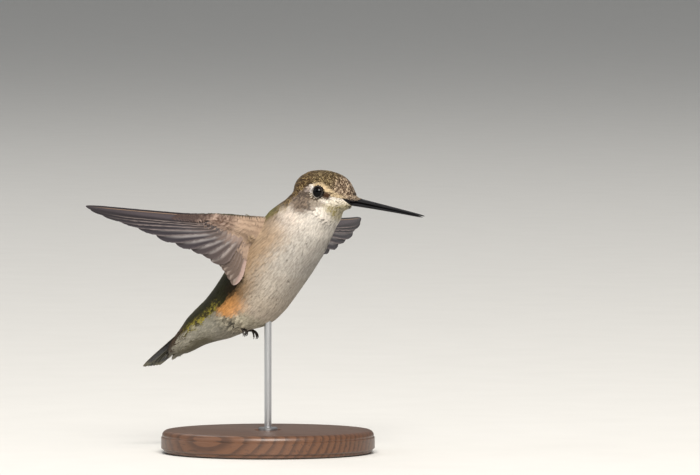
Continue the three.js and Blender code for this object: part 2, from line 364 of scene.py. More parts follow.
class Wire:
    """A socket of a recipe. Python's operators on it add Math nodes."""

    def __init__(self, recipe, socket):
        self.recipe = recipe
        self.socket = socket

    def maths(self, operation, *values):
        return self.recipe.node("Math", {"operation": operation}, dict(enumerate(values)))

    def __abs__(self):
        return self.maths("ABSOLUTE", self)


def operator_pair(operation):
    """The operator with a wire on its left, and with one on its right alone."""
    return (
        lambda wire, other: wire.maths(operation, wire, other),
        lambda wire, other: wire.maths(operation, other, wire),
    )


class Recipe:
    """One material. node() adds any node: its settings first, then its sockets."""

    def __init__(self, name):
        self.material = bpy.data.materials.new(name)
        self.material.use_nodes = True
        self.tree = self.material.node_tree
        self.tree.nodes.clear()

    def node(self, kind, settings=None, sockets=None, out=0):
        made = self.tree.nodes.new("ShaderNode" + kind)
        for key, value in (settings or {}).items():
            setattr(made, key, value)
        for key, value in (sockets or {}).items():
            if isinstance(value, Wire):
                self.tree.links.new(value.socket, made.inputs[key])
            elif isinstance(value, str):
                made.inputs[key].default_value = (*tone(value), 1)
            else:
                made.inputs[key].default_value = value
        return Wire(self, made.outputs[out]) if made.outputs else None

    def attribute(self, name):
        return self.node("Attribute", {"attribute_name": name}, out="Vector")

    def place(self):
        return self.node("TexCoord", out="Object")

    def vector(self, x, y, z):
        return self.node("CombineXYZ", sockets={0: x, 1: y, 2: z})

    def finish(self, **sockets):
        named = {key.replace("_", " "): value for key, value in sockets.items()}
        self.node("OutputMaterial", sockets={"Surface": self.node("BsdfPrincipled", sockets=named)})
        return self.material


def split(vector):
    outputs = vector.recipe.node("SeparateXYZ", sockets={0: vector}).socket.node.outputs
    return tuple(Wire(vector.recipe, outputs[i]) for i in range(3))


def noise(where, scale, detail=2, rough=0.5):
    sockets = {"Vector": where, "Scale": scale, "Detail": detail, "Roughness": rough}
    return where.recipe.node("TexNoise", sockets=sockets)


def ease(value, low, high):
    """From 0 to 1 as the value goes from low to high, with soft ends."""
    settings = {"interpolation_type": "SMOOTHSTEP"}
    return value.recipe.node("MapRange", settings, {0: value, 1: low, 2: high, 3: 0, 4: 1})


def most(a, b):
    return a.maths("MAXIMUM", a, b)


def mix(share, a, b):
    """Colour a where share is 0 and b where it is 1."""
    return share.recipe.node("Mix", {"data_type": "RGBA"}, {0: share, 6: a, 7: b}, out=2)


def layers(colour, *coats):
    """A colour under coats of other colours, each with its share."""
    for share, over in coats:
        colour = mix(share, colour, over)
    return colour


def shade(colour, amount):
    """The colour times a number."""
    grey = amount.recipe.vector(amount, amount, amount)
    return colour.recipe.node("VectorMath", {"operation": "MULTIPLY"}, {0: colour, 1: grey})


def bump(height, distance, strength):
    sockets = {"Strength": strength, "Distance": distance, "Height": height}
    return height.recipe.node("Bump", sockets=sockets)


def mapped(where, scale, kind="POINT", location=(0, 0, 0), turn=(0, 0, 0)):
    sockets = {"Vector": where, "Location": location, "Rotation": Euler(turn), "Scale": scale}
    return where.recipe.node("Mapping", {"vector_type": kind}, sockets)


for stem, operation in (
    ("add", "ADD"),
    ("sub", "SUBTRACT"),
    ("mul", "MULTIPLY"),
    ("truediv", "DIVIDE"),
    ("pow", "POWER"),
):
    forward, backward = operator_pair(operation)
    setattr(Wire, f"__{stem}__", forward)
    setattr(Wire, f"__r{stem}__", backward)

# ---- Plumage ----


def crown_line(fore, most):
    """How high the crown's edge runs on the side of the head: over the eye, down to the bill."""
    ahead = most(fore - 3.4, 0)
    over_eye = most(3.4 - fore, 0)
    behind = most(1 - fore, 0)
    return 2.4 - 0.5 * ahead - 0.17 * over_eye - 0.8 * behind


def scale_edge(along, across, inner=0.62, outer=0.95):
    """From 0 in the middle of a feather's end to 1 round its rim."""
    beyond = most(along - 0.6, 0) / 0.4
    return ease((across * across + beyond * beyond) ** 0.5, inner, outer)


def strands(paint, along, across, own):
    """The light and dark of a small feather's barbs, different in each."""
    return 0.88 + 0.24 * noise(paint.vector(along * 2, across * 9, own * 60), 2.2, 1)


def plumage():
    """The markings of the whole body, with some painted shade and light among them, for the skin and
    for every body feather.
    """
    paint = Recipe("plumage")
    s, left, back = split(paint.attribute("place"))
    face = paint.attribute("face")
    fore, _, up = split(face)
    along, across, own = split(paint.attribute("vane"))
    patchy = noise(face, 0.45, 3)
    mottle = noise(face, 1.7, 2)
    edge = scale_edge(along, across)
    wobble = 0.5 * (own - 0.5) + 1.2 * (patchy - 0.5)
    ragged = s + wobble  # gives a border across the body a ragged line

    crown = ease(up - crown_line(fore, most) + 0.4 * wobble, -0.3, 0.35)
    nape = ease(wobble - fore, 3.0, 4.4)
    divide = 0.66 - 0.76 * ease(s, 38, 30) - 0.15 * ease(s, 5, 1)
    body_dark = ease(back + 0.16 * wobble, divide - 0.07, divide + 0.09)
    dark = body_dark + ease(up, -7.0, -3.5) * (most(crown, nape) - body_dark)

    # Underparts: white on the throat and breast, buff along the sides, rusty on the flank.
    buff = layers(
        mix(mottle, "ae8f6e", "caad8d"),
        (ease(ragged, 35, 41), mix(mottle, "ba9e80", "d2b99d")),
        (0.9 * ease(ragged, 42, 47), "e0d4c8"),
    )
    sides = ease(back + 0.3 * wobble, -0.55, 0.18) * ease(up, -1.5, -6.5)
    shoulder = ease(back + 0.4 * wobble, 0.2, 0.55) * ease(ragged, 48, 46.2) * ease(s, 42, 44.5)
    under = mix(0.95 * sides, mix(patchy, "ccc3b8", "e2ddd5"), buff)
    under = mix(0.65 * shoulder, under, "96826c")
    # Painted shade and light: the underparts darken away from the throat, partly their own colour and
    # partly painted shade, and the belly's lower side gets painted light.
    belly_light = ease(s, 40, 32) * ease(back, -0.3, -0.7)
    under = shade(under, 0.6 + 0.325 * ease(ragged, 46.5, 51.5) + 0.12 * belly_light)
    low = ease(ragged, 37, 27) * ease(back, -0.7, -0.2)
    under = layers(under, (0.5 * ease(s, 42, 28), "a29078"), (0.86 * low, "72583a"))
    # Painted shade: darker towards the middle of the underside, from the belly forward.
    under = shade(under, 1 - 0.15 * ease(back, -0.72, -0.97) * ease(s, 24, 36))
    flank = ease(abs(left) + 0.2 * wobble, 0.6, 0.98) * ease(s + 2 * wobble, 28.5, 22.5)
    rust = flank * ease(ragged, 18.0, 20.5) * (0.5 + 0.35 * mottle)
    low_s = s + 1.5 * wobble
    tuft = ease(low_s + 3.5 * ease(back, -0.75, -0.3), 25, 23) * ease(back, -0.15, -0.4)
    fringe = ease(((s - 19.7) / 1.7) ** 2 + ((back + 0.64) / 0.22) ** 2, 1.3, 0.5)
    # The undertail coverts are painted greyer than their own whitish colour, as painted shade.
    vent = shade(mix(mottle, "7c7765", "a8a59a"), 0.92 + 0.14 * own)
    # Painted shade on the underside of the vent.
    vent_underside_shade = ease(back + 0.3 * wobble, -0.42, -0.7) * ease(s, 15.5, 10)
    under = layers(
        under,
        (rust, "de9d58"),
        (0.9 * tuft, mix(own, "8e8876", "beb8a4")),
        (fringe * ease(own, 0.7, 0.4), "54524a"),
        (ease(low_s, 18.5, 16.5), mix(0.75 * vent_underside_shade, vent, "58533c")),
    )

    def spot(centre_fore, centre_up, half_fore, half_up, outer, inner):
        """From 0 to 1 into an oval on the side of the head."""
        x = (fore - centre_fore) / half_fore
        y = (up - centre_up) / half_up
        return ease(x * x + y * y, outer, inner)

    # The face: dusky ear coverts, cream malar, buff brow, dark lores, white behind the eye.
    ear = mix(ease(0.5 * mottle + 0.6 * own, 0.34, 0.78), "40332a", "6e5f51")
    malar = ease(fore, 4.4, 6.0) * ease(up, -0.6, -1.1) * ease(up, -3.2, -2.2)
    brow = shade(mix(mottle, "a89270", "d4be9a"), 1 - 0.22 * ease(fore, 4.2, 6.4))
    under_eye = spot(2.9, 0.35, 2.1, 2.0, 1.25, 0.75) * ease(up, 0.7, -0.3)
    # Painted shade under the chin, with the chin's own dusky olive dots over it.
    chin_shade = ease(fore + 0.5 * up + 0.5 * wobble, 2.4, 4.6)
    chin_shade = chin_shade * ease(up - 0.3 * most(fore - 6.5, 0), -1.6, -2.8)
    under = layers(
        under,
        (0.95 * spot(-0.5, -1.8, 4.0, 3.2, 1.55, 0.45), ear),
        (0.85 * spot(3.2, -2.3, 1.9, 0.8, 1.6, 0.4), "887e72"),
        (0.9 * malar, "ded5c3"),
        (0.95 * ease(fore, 0.2, 2.4) * ease(up, -0.6, 0.0), brow),
        (0.8 * under_eye, mix(ease(own, 0.5, 0.62), "46382c", "c4baaa")),
        (spot(4.9, -0.2, 0.8, 0.95, 1.8, 0.2), "3a2618"),
        (0.5 * spot(0.5, 0.6, 1.0, 0.8, 1.7, 0.3), "a89c96"),
        (0.95 * spot(1.5, 0.75, 0.52, 0.9, 1.5, 0.2), mix(own, "c4bebc", "f0eeee")),
        (chin_shade * (0.72 + 0.3 * ease(own, 0.6, 0.8) * (1 - edge)), "867c58"),
    )
    # Painted shade: the face darkens towards the bill under the chin.
    under = shade(under, 1 - 0.4 * ease(fore - 0.3 * up, 9.0, 10.4))

    # Upperparts: dark scales with buff rims on the head, green bronze on the back.
    rimmed = 0.5 * own + 0.75 * edge
    hind = ease(rimmed, 0.3, 1.0)
    front = mix(ease(rimmed, 0.2, 0.85), "4a372a", "f8e0c2")
    # Painted shade on the front of the forehead, by the bill.
    front = shade(front, 1 - 0.45 * ease(fore + 0.3 * up, 8.6, 10.2))
    head_top = layers(
        mix(hind, "3c2e1b", "d4be90"),
        (ease(fore + 0.8 * wobble, 4.5, 7.5), front),
        (ease(fore + wobble, 1.6, -1.4), mix(hind, "322212", "d6b882")),
    )
    glint = ease(noise(paint.place(), 1500, 2) + 0.3 * (own - 0.5), 0.39, 0.61)
    high = back + 0.2 * wobble
    gold = ease(high, divide + 0.42, divide + 0.2) * ease(s, 23, 18) * ease(s, 6, 9)
    bronze = layers(
        # The back's base greens are darkened as painted shade; the brighter greens along the middle of
        # the back are its own colour.
        mix(patchy, "121408", "2a2b11"),
        (0.5 * edge, "484024"),
        # Painted shadow of the wing on the flank below it, over the flank's own dusky colour.
        (0.8 * ease(back, divide + 0.5, divide + 0.2) * ease(s, 22, 26), "281c0d"),
        (0.85 * gold, mix(glint, "423a20", "9e923a")),
        (0.85 * ease(s, 9, 6), mix(own, "261e18", "524236")),
        (0.8 * ease(s, 36, 44), "7a6a4c"),
        (0.8 * ease(high, 0.62, 0.97), mix(0.6 * edge + 0.4 * own, "303c12", "8c863e")),
    )
    top = mix(ease(up + wobble, -6.0, -3.5), bronze, head_top)
    mouth = ease(fore, 7.7, 8.0) * ease(up, -0.2, -0.36) * ease(up + 0.8 * (fore - 7.9), -0.5, -0.3)
    colour = layers(under, (dark, top), (mouth, "141214"))

    strand = (MM * 2.2, MM * 0.32, MM * 0.32)
    hairs = mapped(paint.place(), strand, "TEXTURE", turn=(0, radians(-43), 0))
    colour = shade(colour, 0.8 + 0.34 * ease(noise(hairs, 1, 2), 0.3, 0.7))
    shadow = (0.86 + 0.14 * ease(along, 0.3, 0.7)) * (0.96 + 0.08 * own)
    sheen = body_dark * (1 - ease(up, -6.0, -3.5)) * (1 - 0.6 * edge) * ease(s, 44, 36)
    return paint.finish(
        Base_Color=shade(colour, shadow * strands(paint, along, across, own)),
        Metallic=0.2 * sheen,
        Roughness=0.75 - 0.15 * sheen,
        Sheen_Weight=0.06,
        Sheen_Roughness=0.5,
        Specular_IOR_Level=0.12,
    )


def barb_lines(along, across, count):
    """The fine slanting ridges of a vane, one line to a barb."""
    slant = (along + 0.16 * abs(across)) * (count * 2 * pi)
    return 0.5 + 0.5 * slant.maths("SINE", slant)


def flight_feather():
    """Dusky vanes: even above, and below pale along the shaft and dark to the trailing edge."""
    paint = Recipe("flight_feather")
    along, across, own = split(paint.attribute("vane"))
    barbs = barb_lines(along, across, 90)
    cloud = noise(paint.vector(along * 5, across * 1.5, own * 40), 1.2, 3)
    inner = ease(own, 0.3, 0.8)
    dark = mix(ease(own, 0.16, 0.02), mix(inner, "322e34", "685a52"), "282328")
    light = mix(ease(own, 0.3, 0.06), mix(inner, "dcd6d6", "a6988e"), "50494e")
    beside_shaft = ease(across + 0.5 * along, 1.05, 0.65) * ease(across, -0.25, 0.1)
    rim = ease(across, 0.84, 1.0) * (0.2 + 0.3 * ease(own, 0.36, 0.2))
    shaft = ease(abs(across), 0.075, 0.03) * ease(along, 1.0, 0.8)
    below = layers(
        dark,
        (beside_shaft * (0.7 + 0.5 * cloud), light),
        (0.55 * ease(along, 0.5, 1.0), mix(inner, "38353a", "504540")),
        (0.85 * ease(along, 0.36, 0.14), mix(ease(own, 0.25, 0.5), "302522", "88766c")),
        (rim * ease(along, 0.95, 0.6), "a69996"),
        (0.7 * ease(own, 0.9, 0.93) * ease(across, 0.1, 0.9), "b49c95"),
        (0.8 * shaft, mix(ease(own, 0.25, 0.1), "9e9492", "ac8e74")),
    )
    above = layers(
        mix(cloud, "322c2e", "4e4545"),
        (0.4 * ease(abs(across), 0.86, 1.0), "80746a"),
        (0.7 * shaft, "342822"),
    )
    topside = split(paint.attribute("topside"))[0]
    return paint.finish(
        Base_Color=shade(mix(topside, below, above), 0.92 + 0.12 * barbs),
        Roughness=0.5 + 0.1 * cloud,
        Normal=bump(barbs, 0.02 * MM, 0.5),
        Sheen_Weight=0.04,
        Specular_IOR_Level=0.18,
    )


def covert():
    """The small feathers of the wing: dusky green above, buff and dusky grey below."""
    paint = Recipe("wing_covert")
    where = paint.attribute("place")
    span, chord, upper = split(where)
    along, across, own = split(paint.attribute("vane"))
    edge = scale_edge(along, across)
    blotch = noise(where, 0.6, 3)
    uneven = blotch - 0.5
    dusky = ease(blotch + 0.25 * (own - 0.5), 0.46, 0.66) * ease(span, 5, 11)
    # Painted shade: the buff darkens towards the body.
    buff = shade(mix(blotch, "a08875", "cab19b"), 1 - 0.15 * ease(span, 6.5, 4.5))
    lowest = ease(along, 0.3, 0.9) * ease(chord, 2.2, 3.6)
    below = layers(
        mix(own, "927c70", "c8b1a3"),
        (dusky, "685247"),
        (ease(span + 3 * uneven, 12.5, 5), buff),
        (0.3 * edge, "c0aa96"),
        (0.6 * lowest, mix(ease(span + 2 * uneven, 8, 14), "8e7c71", "54433c")),
        (0.9 * ease(span + 6 * uneven, 15, 21), "544543"),
    )
    above = layers(
        mix(own, "2c3614", "4c5420"),
        (0.4 * edge, "7a7040"),
        (ease(span, 12, 22), "4c4440"),
    )
    topside = ease(upper, -0.2, 0.2)
    shadow = (0.8 + 0.2 * ease(along, 0.1, 0.6)) * strands(paint, along, across, own)
    return paint.finish(
        Base_Color=shade(mix(topside, below, above), shadow),
        Metallic=0.45 * topside * (1 - edge),
        Roughness=0.7 - 0.2 * topside,
        Sheen_Weight=0.06,
        Specular_IOR_Level=0.14,
    )


def tail_feather():
    """Green at the base, a black band, and pale tips on the outer ones."""
    paint = Recipe("tail_feather")
    along, across, number = split(paint.attribute("vane"))
    barbs = barb_lines(along, across, 70)
    cloud = noise(paint.vector(along * 6, across * 2, number * 40), 1.5, 3)
    outer = ease(number, 0.3, 0.5)
    aside = abs(across)
    limit = along + 0.05 * (cloud - 0.5) - 0.05 * aside
    band = ease(limit, 0.52, 0.62) * (0.35 + 0.65 * ease(number, 0.1, 0.3))
    colour = layers(
        mix(cloud, "2c3216", "4a4c22"),
        (outer, mix(cloud, "302c22", "4a4432")),
        (band, "110f11"),
        (ease(limit, 0.9, 0.94) * outer, "6a654c"),
        (0.5 * ease(aside, 0.75, 0.98), "767042"),
        (0.5 * ease(aside, 0.07, 0.02), "3c3226"),
    )
    return paint.finish(
        Base_Color=shade(colour, 0.9 + 0.16 * barbs),
        Metallic=0.3 * (1 - outer) * (1 - band),
        Roughness=0.5 + 0.1 * cloud,
        Normal=bump(barbs, 0.02 * MM, 0.5),
        Sheen_Weight=0.1,
        Specular_IOR_Level=0.3,
    )


# ---- Skin ----

FLESH = ("head", "neck", "trunk", "rump")
EYEBALLS = ("eye_right", "eye_left")


def copy_of(name):
    """A loose copy of a CAD node."""
    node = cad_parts[name]
    copy = node.copy()
    copy.data = node.data.copy()
    copy.parent = None
    for key in list(copy.keys()):
        del copy[key]
    bpy.context.scene.collection.objects.link(copy)
    return copy


def shoulder_flesh(side):
    """The upper arm and forearm, as far as the wrist, inside their coverts."""
    span, _, over, _ = wing_frame(side)
    lining = 0.5
    rings = []
    for s, c, high, thick in WING_FLESH[:6]:
        centre = wing_place(side, np.array([s]), np.array([c]), np.array([0.0]))[0]
        rings.append(ring_at(centre, Vector(span), Vector(over), thick - lining, high - lining))
    return tube("arm_flesh", rings, sides=12)


def coat_depth(points):
    """How far under the tips of the coat the skin lies."""
    fore, _, height = in_head(points).T
    on_head = ramp(height, -8, 4)
    on_face = ramp(fore, 3.5, 5) * on_head
    depth = toward(toward(BODY_COAT, HEAD_COAT, on_head), FACE_COAT, on_face)
    thin_end = 0.16 + 0.09 * along_spine(points)[0]
    return np.minimum(depth, thin_end)


def make_skin():
    """One closed skin through the four nodes of flesh, sunk by the depth of the coat."""
    parts = [copy_of(name) for name in FLESH + EYEBALLS]
    parts += [shoulder_flesh(side) for side in (-1, 1)]
    plug = [((0, 0, 28.9), (-0.5, 0, 1)), ((0, 0, 31), (0, 0, 1)), ((0, 0, 36.5), (0, 0, 1))]
    rings = [ring_at(at, ahead, (0, 1, 0), 1.25, 1.35) for at, ahead in plug]
    parts.append(tube("plug", rings, levels=0))  # flesh closes round the rod
    skin = join("skin", parts)
    tidy_faces(skin)
    cut_closer = 0.22 * MM  # swells each part over the thin cuts, then is taken off again
    modify(skin, "DISPLACE", strength=cut_closer, mid_level=0)
    modify(skin, "REMESH", mode="VOXEL", voxel_size=FIRST_VOXEL * MM)
    modify(skin, "DISPLACE", strength=-cut_closer, mid_level=0)
    modify(skin, "SMOOTH", factor=0.5, iterations=10)
    group = skin.vertex_groups.new(name="coat_depth")
    for i, depth in enumerate(coat_depth(positions(skin.data))):
        group.add([i], depth / BODY_COAT, "REPLACE")
    sink = -BODY_COAT * MM
    modify(skin, "DISPLACE", strength=sink, mid_level=0, vertex_group=group.name)
    skin.vertex_groups.clear()
    modify(skin, "REMESH", mode="VOXEL", voxel_size=SKIN_VOXEL * MM)
    modify(skin, "SMOOTH", factor=0.5, iterations=14)
    smooth(skin)
    with editing(skin):
        bpy.ops.uv.smart_project(angle_limit=1.15, island_margin=0.006)
    skin.data.uv_layers[0].name = "OFBake"
    points = positions(skin.data)
    mark(skin.data, points, np.tile([0.85, 0.0, 0.5], (len(points), 1)))
    return skin


def mark(mesh, roots, vanes):
    """Gives each vertex its root's place on the body and in the head, and its place in a vane."""
    give(mesh, place=np.stack(along_spine(roots)[:3], 1), face=in_head(roots), vane=vanes)


# ---- One small feather: a leaf with a frayed rim ----


class Vane:
    """A feather laid flat: along it 0 to 1, across in parts of its length, up in millimetres.
    It is domed, so that its rim beds into the feathers below it."""

    def __init__(self, barbs, half_width, first, fray, dome, leaf_end, seed):
        own = np.random.default_rng(seed)
        self.half_width = half_width
        self.dome = dome
        self.points = []
        self.faces = []
        self.places = []
        self.leaf(leaf_end)
        gap = (0.93 - first) / barbs
        for side in (-1, 1):
            for i in range(barbs):
                start = first + gap * i
                end = start + (0.3 + fray * own.random()) * (1.06 - start) ** 0.8
                reach = self.reach(min(end - 0.03, 0.97)) * (0.94 + 0.3 * fray * own.random())
                reach *= 1 + 0.05 * own.normal()
                root = side * 0.12 * half_width * own.random()
                self.barb((start, root), (min(end, 1.0), side * reach), 0.5 * gap)
        self.barb((0.5, 0), (0.99, 0.02 * own.normal()), 0.5 * gap)
        self.points = np.array(self.points)
        self.faces = np.array(self.faces)
        self.places = np.array(self.places) / (1, half_width)

    def reach(self, along):
        """Half the leaf's width at a distance along it."""
        swell = min(1.0, (along + 0.12) / 0.5) ** 0.7
        return self.half_width * swell * max(0.0, 1 - max(0.0, (along - 0.45) / 0.53) ** 2.2) ** 0.5

    def height(self, along, across):
        """The dome: highest over the shaft, lower at the rim and a little lower at the tip."""
        beyond = max(0.0, (along - 0.7) / 0.3)
        return -self.dome * ((across / self.half_width) ** 2 + 0.3 * beyond**2)

    def point(self, along, across, sunk=0.0):
        self.points.append((along, across, self.height(along, across) - sunk))

    def leaf(self, end):
        """A thin closed leaf: left, ridge and right at each station, and a point at each end."""
        self.point(0, 0, 0.03)
        for share in (0.11, 0.45, 0.73, 0.92):
            half = 0.85 * self.reach(share * end)
            for across in (half, 0, -half):
                self.point(share * end, across, 0.005)
        self.point(end, 0, 0.012)
        self.places += [(a, b) for a, b, _ in self.points]
        last = len(self.points) - 1
        for a, b in ((0, 1), (1, 2), (2, 0)):
            for one in (1, 4, 7):
                self.faces.append([one + a, one + b, one + b + 3])
                self.faces.append([one + a, one + b + 3, one + a + 3])
            self.faces.append([0, 1 + b, 1 + a])
            self.faces.append([last, last - 3 + a, last - 3 + b])

    def barb(self, root, tip, half):
        """A straight three-sided spike, flat on top."""
        first = len(self.points)
        length = hypot(tip[0] - root[0], tip[1] - root[1])
        x, y = ((b - a) / length * half for a, b in zip(root, tip))
        base = self.height(*root)
        self.points.append((root[0] - y, root[1] + x, base))
        self.points.append((root[0] + y, root[1] - x, base))
        self.point(*root, 0.012)
        self.point(*tip)
        self.places += [root, root, root, tip]
        for corners in ((1, 3, 0), (0, 3, 2), (2, 3, 1), (0, 2, 1)):
            self.faces.append([first + c for c in corners])


def lay_feathers(vane, centres, ups, sides, lengths):
    """The vertices of copies of one vane along many centre lines, one block to a feather."""
    count = centres.shape[1] - 1
    where = np.clip(vane.points[:, 0], 0, 1) * count
    low = np.minimum(where.astype(int), count - 1)
    share = (where - low)[None, :, None]

    def between(values):
        return values[:, low] * (1 - share) + values[:, low + 1] * share

    across = vane.points[None, :, 1, None] * lengths[:, None, None]
    above = vane.points[None, :, 2, None]
    return between(centres) + between(sides) * across + between(ups) * above


def piece_of(name, points, faces, patches, material, angle):
    """A piece from arrays: its points in millimetres, its triangles and the map it is baked by."""
    mesh = bpy.data.meshes.new(name)
    mesh.vertices.add(len(points))
    mesh.vertices.foreach_set("co", (points * MM).astype(np.float32).ravel())
    mesh.loops.add(faces.size)
    mesh.loops.foreach_set("vertex_index", faces.astype(np.int32).ravel())
    mesh.polygons.add(len(faces))
    mesh.polygons.foreach_set("loop_start", np.arange(0, faces.size, 3, dtype=np.int32))
    mesh.update(calc_edges=True)
    corners = read(mesh.loops, "vertex_index", 1, np.int32)[:, 0]
    layer = mesh.uv_layers.new(name="OFBake")
    layer.uv.foreach_set("vector", patches[corners].astype(np.float32).ravel())
    piece = put(name, mesh)
    mesh.materials.append(material)
    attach(piece, "root")
    smooth(piece, angle)
    return piece


class Batch:
    """Arrays that wait to be joined: points, triangles, and what goes with each point."""

    def __init__(self):
        self.rows = []
        self.count = 0

    def add(self, points, faces, *others):
        self.rows.append((points, faces + self.count, *others))
        self.count += len(points)

    def columns(self):
        return [np.concatenate(column) for column in zip(*self.rows)]


class Plumes:
    """Feathers that wait to be joined: each has its centre line and its root's places."""

    def __init__(self, kind):
        *shape, seeds = VANES[kind]
        self.vanes = [Vane(*shape, seed) for seed in seeds]
        self.rows = []

    def add(self, centres, ups, sides, length, root, unwrapped):
        self.rows.append((centres, ups, sides, length, root, unwrapped))

    def pieces(self, name, material, mark_vertices):
        """Joins them, vane by vane, into pieces of no more than MOST_TRIANGLES."""
        *lines, roots, unwrapped = (np.array(column) for column in zip(*self.rows))
        size = max(len(vane.faces) for vane in self.vanes)
        count = len(self.rows)
        parts = ceil(count * size / MOST_TRIANGLES)
        for part, chosen in enumerate(np.array_split(np.arange(count), parts)):
            batch = Batch()
            for i, vane in enumerate(self.vanes):
                mine = chosen[i :: len(self.vanes)]
                laid = lay_feathers(vane, *(line[mine] for line in lines))
                feathers, each = laid.shape[:2]
                offsets = each * np.arange(feathers)
                own = np.repeat(chance.random(feathers), each)
                flat = np.tile(vane.places, (feathers, 1))
                patch = flat * (0.003, 0.0015) - (0.0015, 0)
                batch.add(
                    laid.reshape(-1, 3),
                    (vane.faces[None] + offsets[:, None, None]).reshape(-1, 3),
                    np.repeat(roots[mine], each, axis=0),
                    np.column_stack([flat, own]),
                    patch + np.repeat(unwrapped[mine], each, axis=0),
                )
            title = name if parts == 1 else f"{name}_{part + 1}"
            points, faces, marks, places, patches = batch.columns()
            piece = piece_of(title, points, faces, patches, material, 55)
            mark_vertices(piece.data, marks, places)


# ---- The body's coat ----


def scatter(skin, number):
    """Places all over the skin, with their normals and their places on its unwrap."""
    mesh = skin.data
    mesh.calc_loop_triangles()
    triangles = mesh.loop_triangles
    areas = read(triangles, "area", 1)[:, 0]
    chosen = chance.choice(len(triangles), number, p=areas / areas.sum())
    u, v = chance.random((2, number))
    folded = u + v > 1
    u, v = np.where(folded, 1 - u, u), np.where(folded, 1 - v, v)
    weights = np.stack([1 - u - v, u, v], 1)[..., None]

    def between(values, corners):
        return (values[read(triangles, corners, 3, np.int32)[chosen]] * weights).sum(1)

    normals = read(mesh.vertices, "normal", 3)
    unwrapped = read(mesh.uv_layers["OFBake"].uv, "vector", 2)
    places = between(positions(mesh), "vertices")
    return places, between(normals, "vertices"), between(unwrapped, "loops")


def thin_out(points, spacing):
    """Which of the points to keep so that none is nearer another than its spacing."""
    tree = KDTree(len(points))
    for i, point in enumerate(points):
        tree.insert(point, i)
    tree.balance()
    free = np.ones(len(points), bool)
    kept = []
    for i, point in enumerate(points):
        if free[i]:
            kept.append(i)
            for _, other, _ in tree.find_range(point, spacing[i]):
                free[other] = False
    return np.array(kept)


def eye_axis(side):
    ahead, raised = radians(EYE["ahead"]), radians(EYE["raised"])
    return np.array(Vector((sin(ahead), side * cos(ahead), sin(raised))).normalized())


def from_eye(head_points):
    """How far each point is from the line through the middle of the nearer eye."""
    side = np.where(head_points[:, 1] < 0, -1, 1)
    gaps = []
    for each in (-1, 1):
        offset = head_points - (EYE["fore"], each * EYE["out"], EYE["up"])
        axis = eye_axis(each)
        along = offset @ axis
        gap = np.linalg.norm(offset - along[:, None] * axis, axis=1)
        gaps.append(np.where(side == each, gap, 99))
    return np.minimum(*gaps)


def in_arm(points):
    """True for points of the skin that lie on a wing's arm, past the shoulder."""
    found = np.zeros(len(points), bool)
    for side in (-1, 1):
        span, chord, over, root = wing_frame(side)
        s, c, n = ((points - root) @ axis for axis in (span, chord, over))
        on_arm = (c > -2.5) & (c < 7) & (abs(n) < 3.2)
        found |= on_arm & (s > np.where(n > 0.4, 2.2, 3.6))
    return found


class Lie:
    """How the coat lies at given points: spacing, length, and how much it stands off."""

    def __init__(self, points):
        self.s, side, back, self.tailward = along_spine(points)
        head = in_head(points)
        fore, left, up = head.T
        gap = from_eye(head)
        on_head = ramp(up, -7.5, 5.5)
        face = ramp(fore, 3.5, 4.5) * on_head
        eye = ramp(gap, 2.6, -0.9)
        vent = ramp(self.s, 19, -3)
        crown = ramp(up - crown_line(fore, np.maximum), -0.25, 0.5) * on_head
        crown = np.maximum(crown, ramp(fore, -3.4, -1.2) * on_head)
        self.on_crown = (crown > 0.5) & (eye == 0)
        spacing = toward(0.385 - 0.03 * on_head, 0.27, face)
        self.spacing = toward(toward(spacing, 0.29 - 0.05 * face, crown), 0.17, eye)
        length = toward(2.55 - 1.05 * on_head, 0.85, face)
        length = toward(toward(length, 0.8 - 0.18 * face, crown), 0.5, eye)
        length += vent * (0.9 + 1.4 * (back < 0.1))
        at_end = np.clip(1 - self.s / 5, 0, 1) * (back < 0)
        self.length = length * (1 - 0.6 * at_end)
        self.depth = coat_depth(points) + 0.1 * ramp(gap, 2.0, -0.3)
        tuft = (abs(self.s - 21.5) < 2.2) & (back < -0.15) & (abs(side) > 0.5)
        self.stand = np.where(tuft, 0.3, 0.0)
        on_bill = (fore > 9.6) & (np.hypot(left, up + BILL["below"]) < 0.8)
        mouth = (fore > 7.9) & (up < -0.3) & (up > -0.45 - 0.8 * (fore - 7.9))
        self.covered = (gap > 1.16) & ~on_bill & ~mouth & ~in_arm(points)


def follow(tree, facings, root, normal, way, length, depth, stand, steps=5):
    """A feather's centre line over the skin from its root: its places, ups and sides."""
    places, ups, sides = [], [], []
    place, up, way = Vector(root), Vector(normal).normalized(), Vector(way)
    step = length / steps
    for k in range(steps + 1):
        if k:
            ahead = place + way * step
            found, _, face, gap = tree.find_nearest(ahead)
            facing = Vector(facings[face])
            if gap < 0.5 * step and facing.dot(way) < 0.5:
                place = found
                up = (up + facing).normalized()
            else:
                place = ahead
        way = (way - up * way.dot(up)).normalized()
        share = k / steps
        rise = 1 - 0.95 * (1 - share) ** 3.5 - 0.05 * (1 - share)
        height = -0.1 + (depth + 0.1) * rise + stand * share**2
        places.append(place + up * height)
        ups.append(up.copy())
        sides.append(up.cross(way))
    return places, ups, sides


def turned(way, normal, angle):
    return way * cos(angle) + np.cross(normal, way) * sin(angle)


